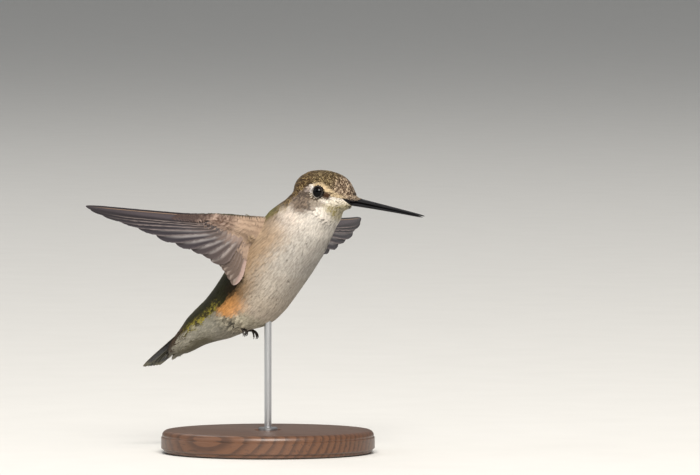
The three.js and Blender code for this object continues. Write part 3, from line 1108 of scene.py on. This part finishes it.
def add_bill_feathers(plumes):
    """Short feathers that point ahead from the forehead and lie over the top of the bill."""
    turn_to_world = HEAD.to_3x3()
    half_round = radians(78)
    for _ in range(BILL_FEATHERS):
        angle = half_round * (2 * chance.random() - 1)
        limit = 11.6 - 1.1 * (angle / half_round) ** 2
        length = 0.75 + 0.25 * chance.random()
        start = limit - length - 1.3 * chance.random()
        outward = Vector((0, sin(angle), cos(angle)))
        centres = []
        for k in range(6):
            fore = start + length * k / 5
            over_bill = BILL["depth"] / 2 - 0.06 * (fore - BILL["face"]) + 0.05
            over_head = 0.5 * max(0.0, BILL["face"] + 0.3 - fore)
            spot = Vector((fore, 0, -BILL["below"])) + outward * (over_bill + over_head)
            centres.append(HEAD @ spot)
        up = turn_to_world @ outward
        aside = up.cross(centres[-1] - centres[0]).normalized()
        plumes.add(centres, [up] * 6, [aside] * 6, length, centres[4], (0.5, 0.5))


def make_coat(skin, material):
    """Every contour feather of the body, in pieces by region."""
    points, normals, unwrapped = scatter(skin, SCATTERED)
    normals = unit(normals)
    kept = thin_out(points, Lie(points).spacing)
    points, normals, unwrapped = points[kept], normals[kept], unwrapped[kept]
    lie = Lie(points)
    polygons = [tuple(p.vertices) for p in skin.data.polygons]
    tree = BVHTree.FromPolygons([tuple(p) for p in positions(skin.data)], polygons)
    at_vertices = read(skin.data.vertices, "normal", 3)
    facings = unit(np.array([at_vertices[list(p)].mean(0) for p in polygons]))
    regions = {name: Plumes(name) for name in ("coat_crown", "coat_head", "coat_body", "coat_vent")}
    for i in np.argsort(lie.s):
        facing_back = lie.tailward[i] @ normals[i]
        if not lie.covered[i] or facing_back > 0.75:
            continue
        flat = lie.tailward[i] - normals[i] * facing_back
        flat /= np.linalg.norm(flat)
        way = turned(flat, normals[i], 0.1 * chance.normal())
        length = lie.length[i] * (1 + 0.08 * chance.normal())
        ahead = in_head(points[i] + way * length)
        if from_eye(ahead[None])[0] < 1.18:
            length *= 0.5
        length *= min(1.0, 1.45 - 1.6 * max(facing_back, 0.28))
        stand = lie.stand[i] * (0.5 + chance.random()) + 0.005 * chance.normal()
        line = follow(tree, facings, points[i], normals[i], way, length, lie.depth[i], stand)
        region = "coat_vent" if lie.s[i] < 17.5 else "coat_body"
        if lie.length[i] < 1.8:
            region = "coat_crown" if lie.on_crown[i] else "coat_head"
        regions[region].add(*line, length, line[0][4], unwrapped[i])
    add_bill_feathers(regions["coat_head"])
    for name, plumes in regions.items():
        plumes.pieces(name, material, mark)


# ---- Wings ----


def flesh_at(s):
    """The middle, half height and half thickness of a wing's flesh at a distance out."""
    table = np.array(WING_FLESH)
    return tuple(np.interp(s, table[:, 0], table[:, i]) for i in (1, 2, 3))


def mark_covert(mesh, roots, vanes):
    give(mesh, place=roots, vane=vanes)


# Rows of coverts: place across the flesh, from -1 at the leading edge, and length near the body.
COVERT_ROWS = [(-0.97, 1.5), (-0.7, 1.9), (-0.35, 2.3), (0.0, 2.8), (0.4, 3.4), (0.8, 4.6)]


def covert_way(s):
    """The direction of the coverts, in radians from the span towards the chord."""
    return radians(8 + 68 * ramp(s, 17, -15) ** 1.2)


def make_coverts(side, material):
    """The small feathers on both faces of a wing, in rows."""
    plumes = Plumes("coverts")
    out = np.linspace(0, 1, 6)
    for face in (-1, 1):
        for row, (across, long) in enumerate(COVERT_ROWS):
            s = -1.5 + 0.3 * (row % 2)
            while s < COVERTS_END:
                shrink = 1 - 0.62 * ramp(s, 6, 16)
                length = long * shrink * (1 + 0.08 * chance.normal())
                middle, high, _ = flesh_at(s)
                angle = covert_way(s) + 0.09 * chance.normal()
                run = out * length
                flat_s = s + np.cos(angle) * run
                flat_c = middle + high * across + np.sin(angle) * run
                middles, highs, thicks = flesh_at(flat_s)
                round_off = np.clip(1 - ((flat_c - middles) / highs) ** 2, 0, 1)
                least = -0.1 + 0.65 * ramp(flat_s, 2, 18) if face < 0 else 0.45
                level = np.maximum(thicks * np.sqrt(round_off), least)
                level = face * (level - 0.1 + 0.22 * out - 0.02 * row)
                line = wing_place(side, flat_s, flat_c, level)
                deeper = wing_place(side, flat_s, flat_c, level + 1.0)
                ahead = unit(np.gradient(line, axis=0))
                up = (deeper - line) * face
                up = unit(up - ahead * (up * ahead).sum(1, keepdims=True))
                unwrapped = ((s + 6) / 40, 0.25 * (face + 1.5) + flat_c[0] / 60)
                root = (s, flat_c[0], face)
                plumes.add(line, up, np.cross(up, ahead), length, root, unwrapped)
                s += 0.5 * (0.5 + 0.5 * shrink) + 0.06 * chance.random()
    plumes.pieces(f"coverts_{NAME[side]}", material, mark_covert)


# Places across a flight feather from its leading to its trailing edge, close by the shaft.
ACROSS = np.array([-1, -0.93, -0.7, -0.4, -0.16, -0.05, 0.05, 0.14, 0.3, 0.5, 0.7, 0.85, 0.95, 1])


def web(length, lead, trail, where, rows=40, point=0.62):
    """A flight feather: a thin closed vane with a raised shaft. where() turns distances along,
    across and above into places. Returns its points, triangles and places in the vane."""
    along = 1 - (1 - np.linspace(0, 1, rows)) ** 1.25
    a, b = np.meshgrid(along, ACROSS, indexing="ij")
    start = ramp(a, 0, 0.1) ** 0.6
    front_tip = np.clip(1 - ramp(a, 0.86, 0.14) ** 2, 0.0004, 1) ** 0.5
    rear_tip = np.clip(1 - ramp(a, point, 1 - point) ** 2.1, 0.0004, 1) ** 0.62
    ragged = 1 + 0.018 * chance.normal(size=a.shape) * (abs(b) > 0.9)
    lateral = np.where(b < 0, b * lead * front_tip, b * trail * rear_tip) * start * ragged
    thick = 0.022 + 0.1 * (1 - 0.82 * a) * np.exp(-((lateral / 0.2) ** 2))
    sag = -0.02 * lateral**2 * np.sign(lateral)
    upper = where(a * length, lateral, sag + thick)
    lower = where(a * length, lateral, sag - thick)
    points = np.concatenate([upper.reshape(-1, 3), lower.reshape(-1, 3)])
    places = np.tile(np.stack([a.ravel(), b.ravel()], 1), (2, 1))
    wide = len(ACROSS)
    index = np.arange(rows * wide).reshape(rows, wide)
    quads = [(index[:-1, :-1], index[1:, :-1], index[1:, 1:], index[:-1, 1:])]
    under = index + rows * wide
    quads.append((under[:-1, 1:], under[1:, 1:], under[1:, :-1], under[:-1, :-1]))
    rim = np.concatenate([index[:, 0], index[-1, 1:], index[-2::-1, -1], index[0, -2:0:-1]])
    after = np.roll(rim, -1)
    quads.append((rim, rim + rows * wide, after + rows * wide, after))
    faces = []
    for corners in quads:
        one, two, three, four = (c.ravel() for c in corners)
        faces.append(np.stack([one, two, three], 1))
        faces.append(np.stack([one, three, four], 1))
    return points, np.concatenate(faces), places


def join_webs(name, webs, material, flip, *nodes):
    """Flight feathers as one piece. Each has its points, triangles, places and number."""
    batch = Batch()
    for i, ((points, faces, places), own) in enumerate(webs):
        half = np.repeat([0.0, 0.5], len(points) // 2)
        column = (i + 0.5 + 0.44 * places[:, 1]) / len(webs)
        batch.add(
            points,
            faces[:, ::-1] if flip else faces,
            np.column_stack([places, np.full(len(points), own)]),
            np.tile((half < 0.5)[:, None], 3),
            np.column_stack([column, half + 0.01 + 0.48 * places[:, 0]]),
        )
    points, faces, vanes, topsides, patches = batch.columns()
    piece = piece_of(name, points, faces, patches, material, 50)
    give(piece.data, vane=vanes, topside=topsides)
    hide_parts(*nodes)


def wing_feather(side, k, base, angle, length, lead, trail):
    """Feather k counted inwards from the wing tip. Each lies over the one outside it."""
    ahead = np.array([cos(radians(angle)), sin(radians(angle))])
    aside = np.array([-ahead[1], ahead[0]])
    stack = 0.055 * (k - 7.5)
    bend = 0.006 * chance.normal() - (0.014 if k == 0 else 0)

    def where(along, lateral, above):
        swing = lateral + bend * along**2 / length
        s, c = (base[i] + ahead[i] * along + aside[i] * swing for i in (0, 1))
        return wing_place(side, s, c, stack - 0.05 * lateral + above)

    return web(length, lead, trail, where)


def make_wing(side, material):
    hand, arm = [], []
    number = PRIMARIES + SECONDARIES
    for k in range(PRIMARIES):
        feather = wing_feather(side, k, *primary(k), 0.4 + 0.05 * k, 1.9 + 0.22 * k)
        hand.append((feather, k / number))
    for k in range(SECONDARIES):
        feather = wing_feather(side, PRIMARIES + k, *secondary(k), 1.2, 2.6)
        arm.append((feather, (PRIMARIES + k) / number))
    name, flip = NAME[side], side > 0
    join_webs(f"primaries_{name}", hand, material, flip, f"wing_{name}_hand")
    join_webs(f"secondaries_{name}", arm, material, flip, f"wing_{name}_arm")


# ---- Tail ----


def make_tail(side, material):
    slope = radians(TAIL["slope"])
    tailward = np.array([-cos(slope), 0, -sin(slope)])
    over = np.array([-sin(slope), 0, cos(slope)])
    root = np.array([TAIL["root"][0], 0, TAIL["root"][1]])
    feathers = []
    for j in range(RECTRICES):
        share = (j + 0.5) / RECTRICES
        angle = radians(TAIL["half_fan"]) * share
        length = TAIL["length"] * (1 + 0.055 * (1 - share))
        inner, outer = (0.45, 1.3) if j == 0 else (2.1, 0.9)

        def where(along, lateral, above, j=j, angle=angle):
            reach = np.cos(angle) * along - np.sin(angle) * lateral
            beside = 0.15 + TAIL["spread"] * (j + 0.5) + np.sin(angle) * along + lateral
            lift = 0.2 - 0.15 * j + 0.04 * lateral + above
            lengthwise = tailward * reach[..., None]
            return root + lengthwise + [0, side, 0] * beside[..., None] + over * lift[..., None]

        feathers.append((web(length, inner, outer, where, point=0.8), j / RECTRICES))
    name = NAME[side]
    join_webs(f"rectrices_{name}", feathers, material, side < 0, f"tail_{name}")


# ---- Eyes and lids ----


def eye_finish():
    paint = Recipe("eye")
    side = abs(split(paint.attribute("gaze"))[0])
    iris = ease(side, 0.9, 0.82)
    colour = mix(iris, "020203", "0e0906")
    return paint.finish(Base_Color=colour, Roughness=0.06 + 0.03 * iris, Specular_IOR_Level=0.13)


def lid_finish():
    paint = Recipe("lid")
    where = paint.place()
    above, behind, outward = split(paint.attribute("round_eye"))
    beads = paint.node("TexVoronoi", sockets={"Vector": where, "Scale": 5200})
    speckle = ease(noise(where, 2600, 2), 0.42, 0.6)
    pale = ease(behind - above, 0.1, 0.9) * ease(outward, 1.06, 1.14)
    colour = mix(speckle * pale, "221c19", "cec6ba")
    colour = shade(colour, 1.0 - 0.35 * ease(beads, 0.2, 0.7))
    return paint.finish(
        Base_Color=colour,
        Roughness=0.55 + 0.2 * speckle,
        Normal=bump(beads, -0.03 * MM, 0.6),
        Specular_IOR_Level=0.35,
    )


def eye_place(side):
    """Turns +Z to the way an eye looks, at the eye's own place in the head."""
    turn = Vector(eye_axis(side)).to_track_quat("Z", "X").to_matrix().to_4x4()
    centre = Matrix.Translation((EYE["fore"], side * EYE["out"], EYE["up"]))
    return Matrix.Scale(MM, 4) @ HEAD @ centre @ turn


def make_eye(side, material):
    """A ball with a swollen cornea over its middle."""
    radius, ball = EYE["radius"], bpy.ops.mesh.primitive_uv_sphere_add
    eye = primitive(f"eyeball_{NAME[side]}", ball, segments=64, ring_count=40, radius=radius)
    cornea, swell = 0.72, 0.12
    for vertex in eye.data.vertices:
        bulge = max(0.0, (vertex.co.z / radius - cornea) / (1 - cornea))
        vertex.co.z += swell * bulge * (2 - bulge)
    heights = np.array([v.co.z for v in eye.data.vertices]) / (radius + swell)
    give(eye.data, gaze=np.column_stack([heights, np.zeros((len(heights), 2))]))
    eye.data.transform(eye_place(side))
    smooth(eye)
    hand_over(eye, "eyes", material, f"eye_{NAME[side]}")


def make_lids(side, material):
    """A soft ring of bare skin round the eye, drawn out a little to its corners."""
    opening = EYE["opening"]
    size = {"major_radius": opening + 0.09, "minor_radius": 0.14}
    parts = {"major_segments": 56, "minor_segments": 14}
    lids = primitive(f"lids_{NAME[side]}", bpy.ops.mesh.primitive_torus_add, **size, **parts)
    seat = sqrt(EYE["radius"] ** 2 - opening**2)
    flat = np.array([v.co[:2] for v in lids.data.vertices]) / opening
    outward = np.linalg.norm(flat, axis=1)
    give(lids.data, round_eye=np.column_stack([flat[:, 0], -side * flat[:, 1], outward]))
    for vertex in lids.data.vertices:
        x, y, z = vertex.co
        out = hypot(x, y)
        corner = 0.1 * (abs(x) / out) ** 6
        wrinkle = 0.02 * sin(34 * atan2(y, x))
        scale = 1 + corner + wrinkle * (out - opening)
        droop = 0.28 * max(0.0, out - opening) ** 1.5
        vertex.co = (x * scale, y * scale * 0.97, z * 0.8 + seat + 0.05 - droop)
    lids.data.transform(eye_place(side))
    tidy_faces(lids)
    smooth(lids)
    hand_over(lids, "plumage", material)


# ---- Bill ----


def horn():
    """Black horn: worn a little grey along the ridge, with fine lines along it."""
    paint = Recipe("bill_horn")
    turn = (0, radians(HEAD_DIP), radians(HEAD_TURN))
    where = mapped(paint.place(), (MM * 9, MM, MM), "TEXTURE", Vector(HEAD_AT) * MM, turn)
    lines = noise(where, 3.2, 4, 0.6)
    worn = ease(noise(where, 1.1, 3), 0.5, 0.75)
    return paint.finish(
        Base_Color=mix(worn * 0.4, "07070a", "181820"),
        Roughness=0.38 + 0.12 * lines,
        Normal=bump(lines, 0.02 * MM, 0.2),
        Specular_IOR_Level=0.3,
    )


def make_bill(upper, material):
    """One half of the bill: a long tapering rod, flat on the seam, with a groove at the base."""
    face, buried, length = BILL["face"], BILL["buried"], BILL["length"]
    shorter = 0 if upper else 0.4
    droop, parts, side = 0.3, 16, 1 if upper else -1

    def half(size, along):
        return toward(BILL_TIP, BILL[size], (1 - along) ** 1.15) / 2

    rings = []
    for i in range(parts + 1):
        along = i / parts
        reach = face - buried + along * (length + buried - shorter)
        closing = min(1.0, (1 - along) / 0.03 + 0.25)
        middle = -BILL["below"] - droop * along**2 + side * half("depth", along) * 0.5
        wide, high = half("width", along) * closing, half("depth", along) * 0.53 * closing
        rings.append(HEAD @ ring_at(Vector((reach, 0, middle)), (1, 0, 0), (0, 1, 0), wide, high))
    bill = tube("bill_top" if upper else "bill_bottom", rings, sides=20, levels=2)
    to_head = HEAD.inverted() @ Matrix.Scale(1 / MM, 4)
    back = to_head.inverted()
    for vertex in bill.data.vertices:
        p = to_head @ vertex.co
        share = (p.x - face + buried) / (length + buried)
        rise = (p.z + BILL["below"] + droop * share**2) * side
        wide = half("width", min(share, 1))
        if upper:
            ridge = max(0.0, 1 - abs(p.y) / (0.35 * wide)) * 0.06
            groove = 0.16 * exp(-(((rise - wide * 0.75) / 0.16) ** 2))
            groove *= max(0.0, 1 - share / 0.55) * min(1.0, share / 0.1)
            p.y *= 1 - groove / wide
            p.z += ridge if rise > wide * 0.7 else 0
        vertex.co = back @ p
    hand_over(bill, "bill", material, "bill_upper" if upper else "bill_lower")


# ---- Feet ----


def foot_skin():
    paint = Recipe("foot_skin")
    where = paint.place()
    scales = paint.node("TexVoronoi", {"feature": "DISTANCE_TO_EDGE"}, {"Vector": where, "Scale": 3600})
    seam = ease(scales, 0.16, 0.02)
    dust = noise(where, 1500, 3)
    colour = mix(dust, "221d1b", "423932")
    colour = mix(seam * 0.6, colour, "120f0e")
    return paint.finish(
        Base_Color=colour,
        Roughness=0.5 + 0.25 * dust,
        Normal=bump(scales, 0.05 * MM, 0.7),
        Specular_IOR_Level=0.4,
    )


def claw_horn():
    paint = Recipe("claw_horn")
    grain = noise(paint.place(), 2200, 3)
    colour = mix(grain, "0e0c0c", "2e2824")
    return paint.finish(Base_Color=colour, Roughness=0.28 + 0.15 * grain, Coat_Weight=0.3)


def curl(start, heading, dip, bend, length, parts):
    """Places along a line that leaves at a dip below level and bends down by some degrees."""
    forward = Vector((cos(radians(heading)), sin(radians(heading)), 0))
    place, places = Vector(start), []
    for i in range(parts + 1):
        slope = radians(dip + bend * i / parts)
        ahead = forward * cos(slope) - Vector((0, 0, sin(slope)))
        places.append((place.copy(), ahead))
        place = place + ahead * (length / parts)
    return places, Vector((-forward.y, forward.x, 0))


def make_toe(start, heading, dip, bend, length):
    """A toe with a pad under each joint, and the claw that ends it."""
    parts = 9
    places, aside = curl(start, heading, dip, bend, length, parts)
    rings = []
    for i, (place, ahead) in enumerate(places):
        half = 0.74 * toward(TOE["thick"], TOE["claw"], i / parts) / 2
        pad = 1 + 0.14 * cos(i * pi)
        rings.append(ring_at(place, ahead, aside, half * pad * 0.92, half * pad))
    toe = tube("toe", rings, sides=10)
    tip, ahead = places[-1]
    hook, _ = curl(tip - ahead * 0.15, heading, dip + bend - 5, 70, 0.75, 6)
    slim = [0.15, 0.145, 0.13, 0.105, 0.08, 0.05, 0.02]
    rings = [ring_at(p, way, aside, w * 0.8, w) for (p, way), w in zip(hook, slim)]
    return toe, tube("claw", rings, sides=10)


def make_foot(side, skin_material, claw_material):
    ankle = Vector((ANKLE["fore"], side * ANKLE["out"], ANKLE["up"] - side * ANKLE["uneven"]))
    shank = [(-1.0, 5, 0.85), (-0.7, 3.5, 0.66), (-0.4, 2, 0.52), (-0.2, 1, 0.42), (0, 0, 0.45)]
    rings = [
        ring_at(ankle + Vector((back, 0, rise)), (0.25, 0, -1), (0, 1, 0), half, half)
        for back, rise, half in shank
    ]
    rings.append(ring_at(ankle - Vector((0, 0, 0.35)), (0, 0, -1), (0, 1, 0), 0.28, 0.28))
    toes, claws = [tube("shank", rings, sides=12)], []
    ways = [(turn, 0, 95, TOE["length"]) for turn in (-TOE["spread"], 0, TOE["spread"])]
    ways.append((180, 5, 60, TOE["length"] * 0.85))
    for way in ways:
        toe, claw = make_toe(ankle, *way)
        toes.append(toe)
        claws.append(claw)
    foot = join(f"foot_{NAME[side]}", toes)
    hand_over(join(f"claws_{NAME[side]}", claws), "feet", claw_material)
    hand_over(foot, "feet", skin_material, f"leg_{NAME[side]}")


# ---- Stand ----


def stand_wood():
    """Dark close-grained wood, turned and waxed."""
    paint = Recipe("stand_wood")
    where = paint.place()
    _, y, z = split(where)
    warp = noise(mapped(where, (22, 70, 70)), 1, 3)
    from_pith = ((y - 0.07) * (y - 0.07) + (z + 0.03) * (z + 0.03)) ** 0.5
    rings = warp.maths("FRACT", from_pith * 620 + warp * 2.2)
    pores = noise(mapped(where, (90, 1500, 1500)), 1, 2)
    late = ease(rings, 0.35, 0.9) * ease(rings, 1.0, 0.94)
    colour = mix(late * (0.5 + 0.5 * warp), "60402c", "3e281c")
    return paint.finish(
        Base_Color=mix(ease(pores, 0.56, 0.7) * 0.5, colour, "281a12"),
        Roughness=0.36 + 0.16 * pores,
        Normal=bump(pores, 0.06 * MM, 0.4),
        Coat_Weight=0.25,
        Coat_Roughness=0.3,
    )


def stand_steel():
    """Steel brushed along its length."""
    paint = Recipe("stand_steel")
    brushed = noise(mapped(paint.place(), (9000, 9000, 160)), 1, 3)
    return paint.finish(
        Base_Color=mix(brushed, "acaeb2", "ced0d3"),
        Metallic=1.0,
        Roughness=0.24 + 0.16 * brushed,
        Normal=bump(brushed, 0.01 * MM, 0.3),
    )


def make_base(material):
    """A turned disc: its outline is spun round, with a bead under a rounded top edge."""
    radius, height, edge = BASE["radius"], BASE["height"], BASE["edge"]
    outline = [(0.0, 0.0), (radius - 0.9, 0.0), (radius - 0.5, 0.25), (radius - 0.5, 0.6)]
    outline += [(radius, 1.0), (radius, height - edge - 0.4), (radius - 0.25, height - edge - 0.2)]
    for i in range(7):
        turn = radians(15 * i)
        across, up = edge * cos(turn), edge * sin(turn)
        outline.append((radius - edge - 0.2 + across, height - edge + up))
    outline += [(3.2, height), (2.9, height - 0.35), (1.0, height - 0.35), (0.0, height - 0.35)]
    mesh = bpy.data.meshes.new("base")
    edges = [(i, i + 1) for i in range(len(outline) - 1)]
    mesh.from_pydata([(x, 0, z) for x, z in outline], edges, [])
    base = put("base", mesh)
    with editing(base):
        bpy.ops.mesh.spin(steps=144, angle=2 * pi, center=(0, 0, 0), axis=(0, 0, 1))
    base.data.transform(Matrix.Scale(MM, 4))
    tidy_faces(base)
    smooth(base, 32)
    hand_over(base, "stand_wood", material, "stand_base")


def turned_part(name, profile):
    """A round upright part from its heights and radii."""
    rings = [ring_at((0, 0, z), (0, 0, 1), (1, 0, 0), r, r) for z, r in profile]
    return tube(name, rings, sides=40, levels=0)


def make_rod(material):
    """The rod, with a slim collar where it enters the base."""
    radius, top = ROD["radius"], ROD["top"]
    floor = BASE["height"] - 0.35
    profile = [(ROD["foot"], radius), (floor, radius), (floor + 0.02, radius), (top - 0.2, radius)]
    rod = turned_part("rod", profile + [(top, radius - 0.2)])
    collar = [(floor, 2.2), (floor + 0.7, 2.2), (floor + 0.95, 1.95), (floor + 0.95, 0.7)]
    rod = join("rod", [rod, turned_part("collar", collar)])
    smooth(rod, 35)
    hand_over(rod, "stand_steel", material, "stand_rod")


# ---- Floor, light and camera ----


def backdrop():
    """A pale round floor that turns up into a wall far off on every side."""
    paint = Recipe("pale_floor")
    mottle = noise(paint.place(), 60, 3)
    colour = mix(mottle, "dad9d6", "e0dfdc")
    material = paint.finish(Base_Color=colour, Roughness=0.85 + 0.1 * mottle)
    flat, bend, height, below = 7.0, 1.5, 3.0, -0.0002
    rings = [(0.05, below), (flat, below)]
    for i in range(1, 9):
        turn = radians(90 * i / 8)
        rings.append((flat + bend * sin(turn), below + bend * (1 - cos(turn))))
    rings.append((flat + bend, height))
    disc = bpy.ops.mesh.primitive_circle_add
    floor = primitive("floor", disc, vertices=96, radius=1, fill_type="NGON")
    with editing(floor):
        bpy.ops.transform.resize(value=(rings[0][0], rings[0][0], 1))
        bpy.ops.transform.translate(value=(0, 0, below))
        for (radius, level), (wider, higher) in zip(rings, rings[1:]):
            bpy.ops.mesh.extrude_edges_move()
            bpy.ops.transform.resize(value=(wider / radius, wider / radius, 1))
            bpy.ops.transform.translate(value=(0, 0, higher - level))
    smooth(floor)
    floor.data.materials.append(material)


def aim(name, data, place, way):
    """A lamp or the camera at a place, looking against a way."""
    made = put(name, data)
    made.location = place
    made.rotation_euler = way.to_track_quat("Z", "Y").to_euler()
    return made


def lamp(name, azimuth, elevation, size, power, colour):
    """A square soft box that looks at the bird. Azimuth 0 is on the bird's right."""
    a, e = radians(azimuth), radians(elevation)
    way = Vector((sin(a) * cos(e), -cos(a) * cos(e), sin(e)))
    light = bpy.data.lights.new(name, "AREA")
    light.shape = "SQUARE"
    light.size = size
    light.energy = power
    light.color = colour
    aim(name, light, Vector((0, 0, 0.045)) + way * LAMP_DISTANCE, way)


def studio():
    lamp("key", 40, 38, 1.3, 100.0, (1.0, 0.95, 0.88))
    lamp("fill", -40, 25, 1.6, 9.0, (0.94, 0.97, 1.0))
    lamp("rim", -120, 50, 1.0, 9.0, (1.0, 0.98, 0.94))
    world = bpy.data.worlds.new("studio")
    world.use_nodes = True
    background = world.node_tree.nodes["Background"]
    background.inputs["Color"].default_value = (0.86, 0.88, 0.9, 1)
    background.inputs["Strength"].default_value = 0.33
    bpy.context.scene.world = world
    bpy.context.scene.view_settings.view_transform = "Standard"


def camera():
    """Far off on the bird's right and a little in front, just above its own level."""
    lens = bpy.data.cameras.new("camera")
    lens.sensor_width = 36
    lens.lens = CAMERA["lens"]
    lens.clip_start, lens.clip_end = 0.05, 20
    at = Vector(CAMERA["at"]) * MM
    bpy.context.scene.camera = aim("camera", lens, at, at - Vector(CAMERA["target"]) * MM)


# ---- Putting it together ----


def main():
    body = plumage()
    skin = make_skin()
    make_coat(skin, body)
    hand_over(skin, "plumage", body, *FLESH)
    coverts, flight, tail = covert(), flight_feather(), tail_feather()
    eyeball, lid, bill, feet, claws = eye_finish(), lid_finish(), horn(), foot_skin(), claw_horn()
    for side in (-1, 1):
        make_wing(side, flight)
        make_coverts(side, coverts)
        make_tail(side, tail)
        make_eye(side, eyeball)
        make_lids(side, lid)
        make_foot(side, feet, claws)
    make_bill(True, bill)
    make_bill(False, bill)
    make_base(stand_wood())
    make_rod(stand_steel())
    backdrop()
    studio()
    camera()


main()
choose()
